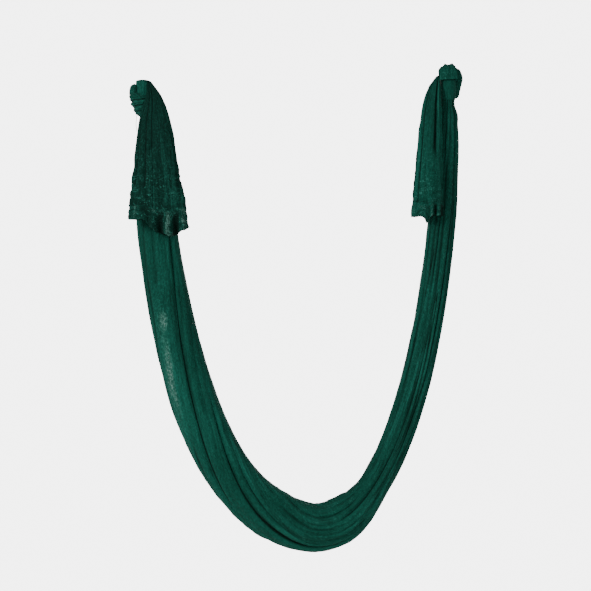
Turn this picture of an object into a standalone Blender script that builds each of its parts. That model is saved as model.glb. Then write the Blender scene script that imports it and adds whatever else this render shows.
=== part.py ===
"""Aerial yoga hammock: one long stretch cloth, knotted at each end, hanging as a deep U.

The origin is the middle of the left knot's eye, where the hanging hardware goes through.
+X runs towards the right knot, +Y away from the viewer and +Z up. Lengths are in metres.
"""

from bisect import bisect_left
from math import atan2, cos, pi, radians, sin

import bmesh
import bpy
from mathutils import Matrix, Vector

# Hanging points
EYE_SPAN = 1.0387           # level distance between the two eyes
EYE_RISE = 0.0493           # the right eye hangs this much higher
ROD_HOLE = 0.010            # radius left free for the karabiner's rod
INNER_TURN = 0.003          # thickness of the turn of cloth that grips the rod
GAP = 0.0003                # space between touching pieces

# Middle line of the gathered cloth, two curves that meet at its lowest stretch
LEFT_LEAN = radians(4.53)   # how far each arm leans inwards below its knot
RIGHT_LEAN = radians(-0.35)
LEFT_FALL = 0.940           # how far each arm pulls its curve straight down
RIGHT_FALL = 0.882
LEFT_SWEEP = 0.351          # how far each half of the seat runs flat
RIGHT_SWEEP = 0.277
SEAT_X = 0.565
SEAT_DROP = 1.500
SEAT_TILT = radians(10.0)   # the seat falls a little towards the right
SEAT_BACK = 0.010           # the seat hangs behind the eyes, against the tails' weight

# Width of the gathered cloth, seen from the front
LEFT_NECK = 0.030
LEFT_ARM = 0.1346
LEFT_THIGH = 0.1555
SEAT_LEFT = 0.1573
SEAT_MIDDLE = 0.1670
SEAT_RIGHT = 0.1468
RIGHT_LOW = 0.1012
RIGHT_THIGH = 0.1025
RIGHT_ARM = 0.0933
RIGHT_HIGH = 0.0800
RIGHT_COLLAR = 0.0680
RIGHT_NECK = 0.044
ARM_FLATNESS = 0.78         # depth from front to back for each unit of width
LEFT_KNOT_LENGTH = 0.100    # how far each neck stays inside its knot
RIGHT_KNOT_LENGTH = 0.098
NECK_DOME = 0.014           # rounded top of the neck, under the eye
NECK_TOP_SHARE = 0.55       # width of the neck's very top, as a share of the neck

# Main folds round the sling, as degrees of its section, and how they wander along it
SLING_FOLDS = (35, 100, 52, 26, 24, 28, 22, 26, 24, 23)
FIRST_FOLD = radians(-8)
FOLD_DRIFT = ((0.00, 0), (0.15, 0), (0.26, -27), (0.34, -50), (0.40, -76), (0.46, -102),
              (0.50, -148), (0.58, -166), (1.00, -185))
FOLD_DEPTH = 0.13
FOLD_COLUMN = 15            # degrees between columns of points round a fold
SLING_STEPS = 22            # rings of points along each half of the sling

# The front fold lies on the rest of the cloth and peels forward below the tails
PEEL_LEFT = 0.545           # where its two tips lie below the left eye
PEEL_RIGHT = 0.505
PEEL_TIP = 0.009            # thickness of each tip
PEEL_RUN = 0.300            # height over which it grows to half of the cloth

# Left knot: a strap over the eye, and a strand that comes down beside it and wraps the neck
STRAP_LEFT = -0.0202
STRAP_RIGHT = 0.0172
STRAP_THICK = 0.009
STRAP_CREASES = 4           # lengthwise folds on the outer face of a strap
STRAP_CREASE = 0.20         # depth of each, as a share of half the thickness
STRAP_SIDE = 0.35           # thickness at the strap's sides, as a share
WRAP_TURNS = 3
WRAP_TOP = 0.0118           # radius of the strand at its first and last wrap
WRAP_END = 0.0066
WRAP_START_DROP = 0.0450    # where the strand turns in under the strap
WRAP_START_ANGLE = radians(222)
WRAP_SPACE = 0.0006         # air between one wrap and the next
WRAP_POINTS = 24            # points for each wrap
LOBE_TOP = 0.006            # height of the strand's rounded top end above the eye
ROD_ROOM = 0.0072           # half-height kept free beside the eye for the karabiner's rod
LOBE_POINTS = 12
BEND_EASING = 3             # passes that round the bend from the lobe into the first wrap

# Right knot: a cap over the eye, a cup under it and a roll behind
CAP_LEFT = -0.0306
CAP_RIGHT = 0.0306
CAP_THICK = 0.012
CAP_DROP = 0.029
CUP_WALL = 0.0068
CUP_LIP = 0.0022
CUP_LENGTH = 0.067
ROLL_RADIUS = 0.0099
ROLL_TOP = 0.010
ROLL_LENGTH = 0.096
ROLL_TUCK = 0.012           # how far its lower end tucks in behind the cup
ROLL_START = radians(24)    # where it lies round the neck, at its top and its lower end
ROLL_END = radians(54)

# Tails: the cloth's two ends, hanging in front of the arms. Drops are below each eye.
LEFT_TAIL_DROPS = (-0.014, 0.040, 0.130, 0.452)
LEFT_EDGE_DROPS = (-0.014, 0.040, 0.130, 0.290, 0.452)
LEFT_TAIL_EDGES = ((0.0160, 0.0300), (0.0130, 0.0670), (-0.0110, 0.0970), (-0.0260, 0.1280),
                   (-0.0440, 0.1640))
LEFT_TAIL_DEPTHS = (0.016, 0.024, 0.034, 0.060)
LEFT_HEM_SLANT = 0.050      # the right corner hangs this much lower
RIGHT_TAIL_DROPS = (0.018, 0.060, 0.150, 0.495)
RIGHT_TAIL_EDGES = ((-0.0410, -0.0305), (-0.0700, -0.0270), (-0.0950, -0.0240), (-0.1270, -0.0220))
RIGHT_TAIL_DEPTHS = (0.016, 0.026, 0.036, 0.052)
RIGHT_HEM_SLANT = 0.004
TAIL_FOLDS = (58, 38, 46, 34, 52, 40, 48, 44)
TAIL_FOLD_DEPTH = 0.24
HEM_FOLD_DEPTH = 0.40
HEM_HEIGHT = 0.045
HEM_PROUD = 0.0012          # the turned hem is this much thicker on each side
TAIL_STEPS = 12
TAIL_FIRST_FOLD = radians(-20)
LEFT_NESTLE = 0.0092        # how far the hollows of each tail's folds take in what is behind
RIGHT_NESTLE = 0.0098

TILT = atan2(EYE_RISE, EYE_SPAN)
LEFT_EYE = Vector((0, 0, 0))
RIGHT_EYE = Vector((EYE_SPAN, 0, EYE_RISE))
EYE_RADIUS = ROD_HOLE + INNER_TURN


def smooth(share):
    """Ease from 0 to 1 with level ends."""
    share = min(max(share, 0.0), 1.0)
    return share * share * (3 - 2 * share)


def between(stations, place):
    """Value at a place among (place, value) stations, eased from each to the next."""
    if place <= stations[0][0]:
        return stations[0][1]
    for (start, low), (end, high) in zip(stations, stations[1:]):
        if place <= end:
            return low + (high - low) * smooth((place - start) / (end - start))
    return stations[-1][1]


def curve_through(stations, place):
    """Value at a place on one flowing curve through (place, value) stations."""
    places = [station[0] for station in stations]
    values = [station[1] for station in stations]
    slopes = []
    for i in range(len(stations)):
        low, high = max(i - 1, 0), min(i + 1, len(stations) - 1)
        slopes.append((values[high] - values[low]) / (places[high] - places[low]))
    place = min(max(place, places[0]), places[-1])
    i = min(max(bisect_left(places, place) - 1, 0), len(places) - 2)
    step = places[i + 1] - places[i]
    t = (place - places[i]) / step
    start = (1 + 2 * t) * (1 - t) ** 2 * values[i] + t * (1 - t) ** 2 * step * slopes[i]
    end = t * t * (3 - 2 * t) * values[i + 1] + t * t * (t - 1) * step * slopes[i + 1]
    return start + end


def bezier(points, t):
    """Point on a cubic curve with its four control points."""
    a, b, c, d = points
    return a * (1 - t) ** 3 + b * 3 * t * (1 - t) ** 2 + c * 3 * t * t * (1 - t) + d * t ** 3


def neck_drop(neck_width):
    """Depth of a neck's top below its eye, clear of the slanting turn of cloth."""
    return (EYE_RADIUS + GAP) / cos(TILT) + neck_width / 2 * sin(TILT)


class Centreline:
    """Middle of the gathered cloth, from the left neck round the seat to the right neck."""

    SAMPLES = 240

    def __init__(self):
        seat = Vector((SEAT_X, 0, -SEAT_DROP))
        along = Vector((cos(SEAT_TILT), 0, -sin(SEAT_TILT)))
        left = LEFT_EYE + Vector((0, 0, -neck_drop(LEFT_NECK)))
        right = RIGHT_EYE + Vector((0, 0, -neck_drop(RIGHT_NECK)))
        left_way = Vector((sin(LEFT_LEAN), 0, -cos(LEFT_LEAN)))
        right_way = Vector((-sin(RIGHT_LEAN), 0, -cos(RIGHT_LEAN)))
        self.left = (left, left + left_way * LEFT_FALL, seat - along * LEFT_SWEEP, seat)
        self.right = (seat, seat + along * RIGHT_SWEEP, right + right_way * RIGHT_FALL, right)
        self.points = [self.on_curve(2 * i / self.SAMPLES) for i in range(self.SAMPLES + 1)]
        self.lengths = [0.0]
        for start, end in zip(self.points, self.points[1:]):
            self.lengths.append(self.lengths[-1] + (end - start).length)
        self.total = self.lengths[-1]

    def on_curve(self, place):
        """Point for a place from 0, the left neck, to 2, the right neck."""
        if place <= 1:
            return bezier(self.left, place)
        return bezier(self.right, place - 1)

    def at(self, length):
        """Point and direction at a length along the cloth."""
        i = min(max(bisect_left(self.lengths, length), 1), len(self.lengths) - 1)
        start, end = self.points[i - 1], self.points[i]
        t = (length - self.lengths[i - 1]) / (self.lengths[i] - self.lengths[i - 1])
        point = start.lerp(end, t)
        point.y = SEAT_BACK * sin(pi * length / self.total) ** 2
        return point, (end - start).normalized()

    def length_at_drop(self, drop, right=False):
        """Length along the cloth where one arm passes a depth below the left eye."""
        step = -1 if right else 1
        above = self.SAMPLES if right else 0
        while self.points[above + step].z > -drop:
            above += step
        below = above + step
        fall = self.points[above].z - self.points[below].z
        share = (self.points[above].z + drop) / fall
        return self.lengths[above] + (self.lengths[below] - self.lengths[above]) * share


CENTRELINE = Centreline()


def sling_width(length):
    """Width of the gathered cloth at a length along it, in the plane of the U."""
    total = CENTRELINE.total
    return between((
        (LEFT_KNOT_LENGTH, LEFT_NECK), (0.150 * total, LEFT_ARM), (0.320 * total, LEFT_THIGH),
        (0.420 * total, SEAT_LEFT), (0.460 * total, SEAT_MIDDLE), (0.525 * total, SEAT_RIGHT),
        (0.585 * total, RIGHT_LOW), (0.650 * total, RIGHT_THIGH), (0.840 * total, RIGHT_ARM),
        (0.930 * total, RIGHT_HIGH), (0.955 * total, RIGHT_COLLAR),
        (total - RIGHT_KNOT_LENGTH, RIGHT_NECK)), length)


def sling_depth(length):
    """Depth of the gathered cloth from front to back: round at the necks, flatter below."""
    from_knot = min(length - LEFT_KNOT_LENGTH, CENTRELINE.total - RIGHT_KNOT_LENGTH - length)
    flatness = 1 + (ARM_FLATNESS - 1) * smooth(from_knot / PEEL_RUN)
    return sling_width(length) * flatness


def arm_front(drop, right=False):
    """Y of the front of one arm at a depth below the left eye."""
    length = CENTRELINE.length_at_drop(drop, right)
    return CENTRELINE.at(length)[0].y - sling_depth(length) / 2


def fold_columns(folds, first_angle, depth):
    """Angle and radius share of each column of points, with a crease between folds."""
    columns = []
    start = first_angle
    for width in folds:
        count = max(3, round(width / FOLD_COLUMN))
        deep = depth * min(1.0, 0.45 + width / 90)
        for i in range(count):
            rise = sin(pi * i / count) ** 0.5
            columns.append((start + radians(width) * i / count, 1 - deep * (1 - rise)))
        start += radians(width)
    return columns


def collection_for(name):
    """Collection of this name, linked to the scene once."""
    collection = bpy.data.collections.get(name)
    if collection is None:
        collection = bpy.data.collections.new(name)
        bpy.context.scene.collection.children.link(collection)
    return collection


def cloth_material(name, colour, roughness):
    """Dyed cloth with its own colour and roughness."""
    material = bpy.data.materials.new(name)
    material.use_nodes = True
    shader = material.node_tree.nodes["Principled BSDF"]
    shader.inputs["Base Color"].default_value = (*colour, 1)
    shader.inputs["Roughness"].default_value = roughness
    shader.inputs["Metallic"].default_value = 0
    material.diffuse_color = (*colour, 1)
    return material


def add_object(name, data, colour, roughness, collection="aerial_yoga_hammock"):
    """Object with its own material, linked to its collection."""
    obj = bpy.data.objects.new(name, data)
    data.materials.append(cloth_material(name + "_cloth", colour, roughness))
    collection_for(collection).objects.link(obj)
    return obj


def loft(name, rings, colour, roughness, tips=(None, None)):
    """Closed skin over rings of points, each end closed onto its middle or a given tip."""
    form = bmesh.new()
    rows = [[form.verts.new(point) for point in ring] for ring in rings]
    count = len(rows[0])
    for upper, lower in zip(rows, rows[1:]):
        for i in range(count):
            j = (i + 1) % count
            form.faces.new((upper[i], upper[j], lower[j], lower[i]))
    for ring, row, tip in zip((rings[0], rings[-1]), (rows[0], rows[-1]), tips):
        centre = form.verts.new(tip or sum(ring, Vector()) / count)
        for i in range(count):
            form.faces.new((row[i], row[(i + 1) % count], centre))
    bmesh.ops.recalc_face_normals(form, faces=form.faces)
    bmesh.ops.triangulate(form, faces=form.faces)
    mesh = bpy.data.meshes.new(name)
    form.to_mesh(mesh)
    form.free()
    mesh.shade_smooth()
    mesh.set_sharp_from_angle(angle=radians(50))
    return add_object(name, mesh, colour, roughness)


def at_eye(eye):
    """Placing of a knot's own frame: its X runs along the line through both eyes."""
    return Matrix.Translation(eye) @ Matrix.Rotation(-TILT, 4, "Y")


def sling_ring(length, columns):
    """Ring of points round the gathered cloth at a length along it."""
    middle, along = CENTRELINE.at(length)
    outward = Vector((along.z, 0, -along.x))
    front = Vector((0, -1, 0))
    half_width, half_depth = sling_width(length) / 2, sling_depth(length) / 2
    drift = radians(curve_through(FOLD_DRIFT, length / CENTRELINE.total))
    dome = min(length, CENTRELINE.total - length) / NECK_DOME
    if dome < 1:
        half_width *= NECK_TOP_SHARE + (1 - NECK_TOP_SHARE) * dome
        half_depth *= NECK_TOP_SHARE + (1 - NECK_TOP_SHARE) * dome
    ring = []
    for angle, share in columns:
        turn = angle + drift
        reach = outward * (half_width * cos(turn)) + front * (half_depth * sin(turn))
        ring.append(middle + reach * share)
    return ring


def sling_lengths():
    """Lengths of the sling's rings: close in the necks and the seat, wider along the arms."""
    total = CENTRELINE.total
    lengths = [0.0, NECK_DOME, LEFT_KNOT_LENGTH]
    for i in range(1, 2 * SLING_STEPS):
        place = round(CENTRELINE.SAMPLES * i / (2 * SLING_STEPS))
        length = CENTRELINE.lengths[place]
        if LEFT_KNOT_LENGTH + LEFT_NECK < length < total - RIGHT_KNOT_LENGTH - RIGHT_NECK:
            lengths.append(length)
    return lengths + [total - RIGHT_KNOT_LENGTH, total - NECK_DOME, total]


def peel_section(tip, space):
    """Outline in the plane across X that holds the front fold, moved back by a space."""
    tip_back = tip.y + PEEL_TIP + space
    top = tip.z + space
    low = -(SEAT_DROP + SEAT_LEFT * 2)
    away = tip.y - SEAT_LEFT * 2
    split = SEAT_BACK + space
    outline = ((away, top), (tip_back, top), (split, top - PEEL_RUN), (split, low), (away, low))
    return [Vector((tip.x, y, z)) for y, z in outline]


def peel_tip(drop, right=False):
    """Top of the front fold on one arm: the front of the cloth at a depth."""
    middle = CENTRELINE.at(CENTRELINE.length_at_drop(drop, right))[0]
    return Vector((middle.x, arm_front(drop, right), -drop))


def peel_block(name, space):
    """Cutter that holds everything in front of the split between the two folds."""
    left, right = peel_tip(PEEL_LEFT), peel_tip(PEEL_RIGHT, right=True)
    beyond = (right - left) * 0.3
    sections = [peel_section(left - beyond, space), peel_section(right + beyond, space)]
    form = bmesh.new()
    rows = [[form.verts.new(point) for point in section] for section in sections]
    count = len(rows[0])
    for i in range(count):
        j = (i + 1) % count
        form.faces.new((rows[0][i], rows[0][j], rows[1][j]))
        form.faces.new((rows[0][i], rows[1][j], rows[1][i]))
    for row in rows:
        form.faces.new(row)
    bmesh.ops.recalc_face_normals(form, faces=form.faces)
    mesh = bpy.data.meshes.new(name)
    form.to_mesh(mesh)
    form.free()
    block = bpy.data.objects.new(name, mesh)
    collection_for("cutters").objects.link(block)
    block.hide_render = True
    block.display_type = "WIRE"
    return block


def cut(obj, cutter, operation):
    """Boolean cut that stays live on the object."""
    modifier = obj.modifiers.new(cutter.name, "BOOLEAN")
    modifier.operation = operation
    modifier.solver = "EXACT"
    modifier.object = cutter


def make_sling():
    """Gathered cloth between the knots, split into a back fold and a front fold."""
    columns = fold_columns(SLING_FOLDS, FIRST_FOLD, FOLD_DEPTH)
    rings = [sling_ring(length, columns) for length in sling_lengths()]
    back = loft("sling_back_fold", rings, (0.006, 0.052, 0.037), 0.62)
    cut(back, peel_block("front_fold_with_gap", GAP), "DIFFERENCE")
    front = loft("sling_front_fold", rings, (0.008, 0.064, 0.046), 0.58)
    cut(front, peel_block("front_fold_space", 0.0), "INTERSECT")


def make_eye_turn(name, eye, left, right):
    """Turn of cloth gripped between the rod and the knot, round the line through the eyes."""
    profile = bpy.data.meshes.new(name)
    low, high = left, right
    corners = ((EYE_RADIUS, 0, high), (EYE_RADIUS, 0, low), (ROD_HOLE, 0, low), (ROD_HOLE, 0, high))
    profile.from_pydata(corners, ((0, 1), (1, 2), (2, 3), (3, 0)), ())
    ring = add_object(name, profile, (0.005, 0.040, 0.029), 0.7)
    screw = ring.modifiers.new("turn", "SCREW")
    screw.axis = "Z"
    screw.steps = screw.render_steps = 32
    screw.use_merge_vertices = True
    screw.merge_threshold = 0.00001
    screw.use_smooth_shade = False
    ring.matrix_world = at_eye(eye) @ Matrix.Rotation(pi / 2, 4, "Y")
    return ring


def strap_path(straddle, thick, front_drop, back_drop):
    """Middle line of a strap over the eye: up the front, over the turn and down the back."""
    middle = EYE_RADIUS + GAP + thick / 2
    spread = max(straddle + GAP + thick / 2, middle)
    knee = EYE_RADIUS + thick
    path = [(-spread, -front_drop), (-spread, -knee)]
    for i in range(13):
        angle = pi - pi * i / 12
        path.append((middle * cos(angle), middle * sin(angle)))
    path += [(spread, -knee), (spread, -back_drop)]
    return path


def make_strap(name, eye, left, right, thick, path, colour):
    """Flat fold of cloth laid over the eye, creased lengthwise on its outer face."""
    rings = []
    width = right - left
    for i, (y, z) in enumerate(path):
        before, after = path[max(i - 1, 0)], path[min(i + 1, len(path) - 1)]
        along = Vector((0, after[0] - before[0], after[1] - before[1])).normalized()
        out = Vector((0, -along.z, along.y))
        outer, inner = [], []
        for k in range(3 * STRAP_CREASES + 1):
            share = k / (3 * STRAP_CREASES)
            x = left + width * share
            edge = min(share, 1 - share) * width / (thick / 2)
            round_off = 1 - (1 - min(edge, 1)) ** 2
            half = thick / 2 * (STRAP_SIDE + (1 - STRAP_SIDE) * round_off)
            crease = 1 - STRAP_CREASE * (k % 3 == 0) * (0 < k < 3 * STRAP_CREASES)
            outer.append(Vector((x, y, z)) + out * half * crease)
            inner.append(Vector((x, y, z)) - out * half)
        rings.append(outer + inner[::-1])
    strap = loft(name, rings, colour, 0.6)
    strap.matrix_world = at_eye(eye)
    return strap


def wrap_strand():
    """Points and radii of the strand: a lobe beside the strap, then wraps down the neck."""
    strand = []
    lobe_reach = (WRAP_TOP - STRAP_LEFT + GAP) / -cos(WRAP_START_ANGLE)
    top_y = -(ROD_ROOM + WRAP_TOP)
    for i in range(LOBE_POINTS):
        share = i / LOBE_POINTS
        fall = (WRAP_START_DROP + LOBE_TOP) * (1 - cos(pi / 2 * share))
        grown = min(fall / WRAP_TOP + 0.02, 1)
        radius = WRAP_TOP * (1 - (1 - grown) ** 2) ** 0.5
        z = LOBE_TOP - fall
        x = (STRAP_LEFT - GAP - radius - z * sin(TILT)) / cos(TILT)
        y = top_y + (lobe_reach * sin(WRAP_START_ANGLE) - top_y) * smooth(share)
        strand.append((Vector((x, y, z)), radius))
    drop = WRAP_START_DROP
    for i in range(WRAP_TURNS * WRAP_POINTS + 1):
        share = i / (WRAP_TURNS * WRAP_POINTS)
        radius = WRAP_TOP + (WRAP_END - WRAP_TOP) * share
        angle = WRAP_START_ANGLE + 2 * pi * i / WRAP_POINTS
        neck = CENTRELINE.at(drop - neck_drop(LEFT_NECK))[0]
        close = LEFT_NECK / 2 + GAP + radius
        reach = close + (lobe_reach - close) * (1 - smooth(5 * i / WRAP_POINTS))
        strand.append((Vector((neck.x + reach * cos(angle), neck.y + reach * sin(angle), -drop)), radius))
        drop += (2 * radius + WRAP_SPACE) / WRAP_POINTS
    return eased(strand, LOBE_POINTS - 5, LOBE_POINTS + 4)


def eased(strand, first, last):
    """The strand with the bend between two of its points rounded off."""
    places = [place for place, radius in strand]
    for _ in range(BEND_EASING):
        for i in range(first, last):
            places[i] = (places[i - 1] + places[i] * 2 + places[i + 1]) / 4
    return [(place, radius) for place, (_, radius) in zip(places, strand)]


def make_tube(name, strand, colour, sides):
    """Round strand of cloth along points with their own radii."""
    curve = bpy.data.curves.new(name, "CURVE")
    curve.dimensions = "3D"
    curve.bevel_depth = 1.0
    curve.bevel_resolution = sides
    curve.use_fill_caps = True
    curve.resolution_u = 1
    spline = curve.splines.new("POLY")
    spline.points.add(len(strand) - 1)
    for point, (place, radius) in zip(spline.points, strand):
        point.co = (*place, 1)
        point.radius = radius
    return add_object(name, curve, colour, 0.65)


def highest_wrap(strand, side):
    """Depth of the strand's highest point under one leg of the strap."""
    tops = []
    for place, radius in strand:
        local = at_eye(LEFT_EYE).inverted() @ place
        beside = max(STRAP_LEFT - local.x, local.x - STRAP_RIGHT, 0)
        if beside < radius and local.y * side > 0:
            tops.append(local.z + (radius ** 2 - beside ** 2) ** 0.5)
    return -max(tops)


def make_left_knot():
    """Strap over the eye, and the strand that wraps the neck beneath it."""
    strand = wrap_strand()
    front_drop, back_drop = (highest_wrap(strand, side) - GAP * 2 for side in (-1, 1))
    path = strap_path(LEFT_NECK / 2, STRAP_THICK, front_drop, back_drop)
    make_eye_turn("left_eye_turn", LEFT_EYE, STRAP_LEFT, STRAP_RIGHT)
    make_strap("left_knot_strap", LEFT_EYE, STRAP_LEFT, STRAP_RIGHT, STRAP_THICK, path,
               (0.007, 0.056, 0.040))
    make_tube("left_knot_wraps", strand, (0.009, 0.066, 0.048), 3)


def make_cup():
    """Smooth cup of cloth round the right neck, under the cap."""
    bore = RIGHT_NECK / 2 + GAP
    lip, bulge = bore + CUP_LIP, bore + CUP_WALL
    shape = ((lip + CUP_LIP, 0.0), (bulge - CUP_LIP / 2, -0.14), (bulge, -0.36),
             (bulge - CUP_LIP, -0.62), (lip + CUP_LIP / 2, -0.84), (lip, -1.0))
    corners = [(radius, 0, CUP_LENGTH * height) for radius, height in shape]
    corners += [(bore, 0, -CUP_LENGTH), (bore, 0, 0)]
    profile = bpy.data.meshes.new("right_knot_cup")
    count = len(corners)
    profile.from_pydata(corners, [(i, (i + 1) % count) for i in range(count)], ())
    cup = add_object("right_knot_cup", profile, (0.008, 0.062, 0.045), 0.55)
    screw = cup.modifiers.new("turn", "SCREW")
    screw.axis = "Z"
    screw.steps = screw.render_steps = 32
    screw.use_merge_vertices = True
    screw.merge_threshold = 0.00001
    neck_top = CENTRELINE.at(CENTRELINE.total - NECK_DOME)[0]
    neck_low = CENTRELINE.at(CENTRELINE.total - RIGHT_KNOT_LENGTH)[0]
    drop = CAP_DROP + CAP_RIGHT * sin(TILT) + GAP
    share = (neck_top.z - RIGHT_EYE.z + drop) / (neck_top.z - neck_low.z)
    cup.location = neck_top.lerp(neck_low, share)
    cup.rotation_euler.y = atan2(neck_top.x - neck_low.x, neck_top.z - neck_low.z)
    return cup


def make_roll():
    """Roll of cloth that comes round the back of the right knot, beside the cap."""
    beside = CAP_RIGHT + GAP + ROLL_RADIUS
    behind = EYE_RADIUS + CAP_THICK / 2
    neck = CENTRELINE.at(CENTRELINE.total - CAP_DROP)[0] - RIGHT_EYE
    keep = RIGHT_NECK / 2 + GAP + CUP_WALL + GAP + ROLL_RADIUS
    strand = []
    steps = 20
    for i in range(steps + 1):
        share = 0.5 - 0.5 * cos(pi * i / steps)
        swing = ROLL_START + (ROLL_END - ROLL_START) * smooth(share)
        end = min(share, 1 - share) * ROLL_LENGTH / ROLL_RADIUS
        radius = ROLL_RADIUS * (1 - (1 - min(end + 0.02, 1)) ** 2) ** 0.5
        reach = keep - ROLL_RADIUS + radius
        tuck = ROLL_TUCK * smooth(share * 1.4 - 0.4)
        x = max(neck.x + reach * cos(swing), beside - ROLL_RADIUS + radius - tuck)
        y = behind * (1 - smooth(share)) + reach * sin(swing) * smooth(share)
        strand.append((RIGHT_EYE + Vector((x, y, ROLL_TOP - ROLL_LENGTH * share)), radius))
    return make_tube("right_knot_roll", strand, (0.006, 0.048, 0.034), 3)


def make_right_knot():
    """Cap over the eye, cup under it and roll behind."""
    make_eye_turn("right_eye_turn", RIGHT_EYE, CAP_LEFT, CAP_RIGHT)
    path = strap_path(RIGHT_NECK / 2, CAP_THICK, CAP_DROP, CAP_DROP)
    make_strap("right_knot_cap", RIGHT_EYE, CAP_LEFT, CAP_RIGHT, CAP_THICK, path,
               (0.008, 0.062, 0.045))
    make_cup()
    make_roll()


def tail_ring(eye, drop, edges, depth, back, columns, hem_share, proud, slant):
    """Ring of points round a tail at a drop below its eye."""
    left, right = edges
    half_width, half_depth = (right - left) / 2 + proud, depth / 2 + proud
    middle = Vector((eye.x + (left + right) / 2, back - depth / 2, 0))
    ring = []
    for angle, share in columns:
        ruffle = 1 - (1 - share) * (1 + (HEM_FOLD_DEPTH / TAIL_FOLD_DEPTH - 1) * hem_share)
        x = half_width * cos(angle) * ruffle
        y = -half_depth * sin(angle) * ruffle
        across = 0.5 + x / (2 * half_width)
        low = slant * hem_share * smooth(across * 1.6 - 0.3)
        ring.append(middle + Vector((x, y, eye.z - drop - low)))
    return ring


def make_tail(side, eye, drops, edge_drops, edges, depths, backs, slant, colour):
    """Free end of the cloth with its main folds, and the turned hem along its lower edge."""
    columns = fold_columns(TAIL_FOLDS, TAIL_FIRST_FOLD, TAIL_FOLD_DEPTH)
    lefts = list(zip(edge_drops, (edge[0] for edge in edges)))
    rights = list(zip(edge_drops, (edge[1] for edge in edges)))
    depth_at = list(zip(drops, depths))
    back_at = list(zip(drops, backs))

    def ring(drop, proud):
        size = (curve_through(lefts, drop), curve_through(rights, drop))
        hem_share = smooth((drop - drops[0]) / (drops[-1] - drops[0])) ** 2
        return tail_ring(eye, drop, size, curve_through(depth_at, drop),
                         curve_through(back_at, drop), columns, hem_share, proud, slant)

    end = drops[-1] - HEM_HEIGHT
    rings = []
    for i in range(TAIL_STEPS + 1):
        share = i / TAIL_STEPS
        rings.append(ring(drops[0] + (end - drops[0]) * share ** 1.5, 0.0))
    loft(side + "_tail", rings, colour, 0.62)
    hem = [ring(end + GAP, 0.0)]
    hem += [ring(drop, HEM_PROUD) for drop in (end + HEM_PROUD * 2, end + HEM_HEIGHT / 2, drops[-1])]
    loft(side + "_tail_hem", hem, [channel * 1.15 for channel in colour], 0.66)


def make_tails():
    """Both free ends, each hanging in front of its arm."""
    knot_front = LEFT_NESTLE - LEFT_NECK / 2 - WRAP_TOP * 2 - GAP * 4
    left_low = arm_front(LEFT_TAIL_DROPS[-1] + LEFT_HEM_SLANT) - GAP * 4
    left_backs = (-EYE_RADIUS - GAP, knot_front, knot_front, left_low)
    make_tail("left", LEFT_EYE, LEFT_TAIL_DROPS, LEFT_EDGE_DROPS, LEFT_TAIL_EDGES,
              LEFT_TAIL_DEPTHS, left_backs, LEFT_HEM_SLANT, (0.006, 0.046, 0.033))
    right_mid, right_low = (RIGHT_NESTLE - GAP * 4 + arm_front(drop - EYE_RISE, right=True)
                            for drop in (RIGHT_TAIL_DROPS[2], RIGHT_TAIL_DROPS[3]))
    right_backs = (-EYE_RADIUS - GAP, -EYE_RADIUS - GAP * 8, right_mid, right_low)
    make_tail("right", RIGHT_EYE, RIGHT_TAIL_DROPS, RIGHT_TAIL_DROPS, RIGHT_TAIL_EDGES,
              RIGHT_TAIL_DEPTHS, right_backs, RIGHT_HEM_SLANT, (0.007, 0.056, 0.041))


def main():
    """Clear the scene and build every piece."""
    for obj in list(bpy.data.objects):
        bpy.data.objects.remove(obj, do_unlink=True)
    make_left_knot()
    make_right_knot()
    make_sling()
    make_tails()


main()
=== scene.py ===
"""Aerial yoga hammock: the looks of its cloth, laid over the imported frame.

Everything is in metres in the frame's own axes. The origin is the left knot's eye, +X runs
towards the right knot, +Y away from the viewer and +Z up.
"""

from math import atan2, cos, degrees, hypot, pi, radians, sin

import bpy
import numpy as np
from bpy.props import FloatProperty, FloatVectorProperty, IntProperty, PointerProperty
from mathutils import Matrix, Vector


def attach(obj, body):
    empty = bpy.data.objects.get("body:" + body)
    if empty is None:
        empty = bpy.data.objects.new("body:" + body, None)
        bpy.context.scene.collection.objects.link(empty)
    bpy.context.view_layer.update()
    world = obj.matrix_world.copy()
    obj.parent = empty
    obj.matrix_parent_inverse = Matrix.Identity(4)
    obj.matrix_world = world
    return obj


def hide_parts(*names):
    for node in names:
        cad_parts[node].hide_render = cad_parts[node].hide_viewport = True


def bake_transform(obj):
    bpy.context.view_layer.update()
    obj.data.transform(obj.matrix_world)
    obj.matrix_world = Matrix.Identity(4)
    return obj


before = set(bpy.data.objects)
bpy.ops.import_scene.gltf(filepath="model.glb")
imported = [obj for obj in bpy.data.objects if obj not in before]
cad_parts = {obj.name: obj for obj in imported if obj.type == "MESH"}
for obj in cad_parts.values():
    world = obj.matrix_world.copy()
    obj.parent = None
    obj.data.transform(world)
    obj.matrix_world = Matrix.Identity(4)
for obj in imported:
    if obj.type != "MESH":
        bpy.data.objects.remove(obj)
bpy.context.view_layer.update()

bl_info = {
    "name": "Aerial Yoga Hammock",
    "version": (1, 0, 0),
    "blender": (4, 5, 0),
    "location": "3D View > Sidebar > Hammock",
    "description": "Builds the pleated cloth, knots, tails and stage of an aerial yoga hammock",
    "category": "Add Mesh",
}


# Settings

def measure(name, description, default, **limits):
    """Setting for a length in metres."""
    return FloatProperty(name=name, description=description, default=default, unit="LENGTH",
                         **limits)


def lean(name, description, angle):
    """Setting for an angle, given in degrees."""
    return FloatProperty(name=name, description=description, default=radians(angle),
                         subtype="ANGLE")


def tint(name, description, *colour):
    """Setting for a colour."""
    return FloatVectorProperty(name=name, description=description, default=colour,
                               subtype="COLOR", min=0, max=1)


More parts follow.
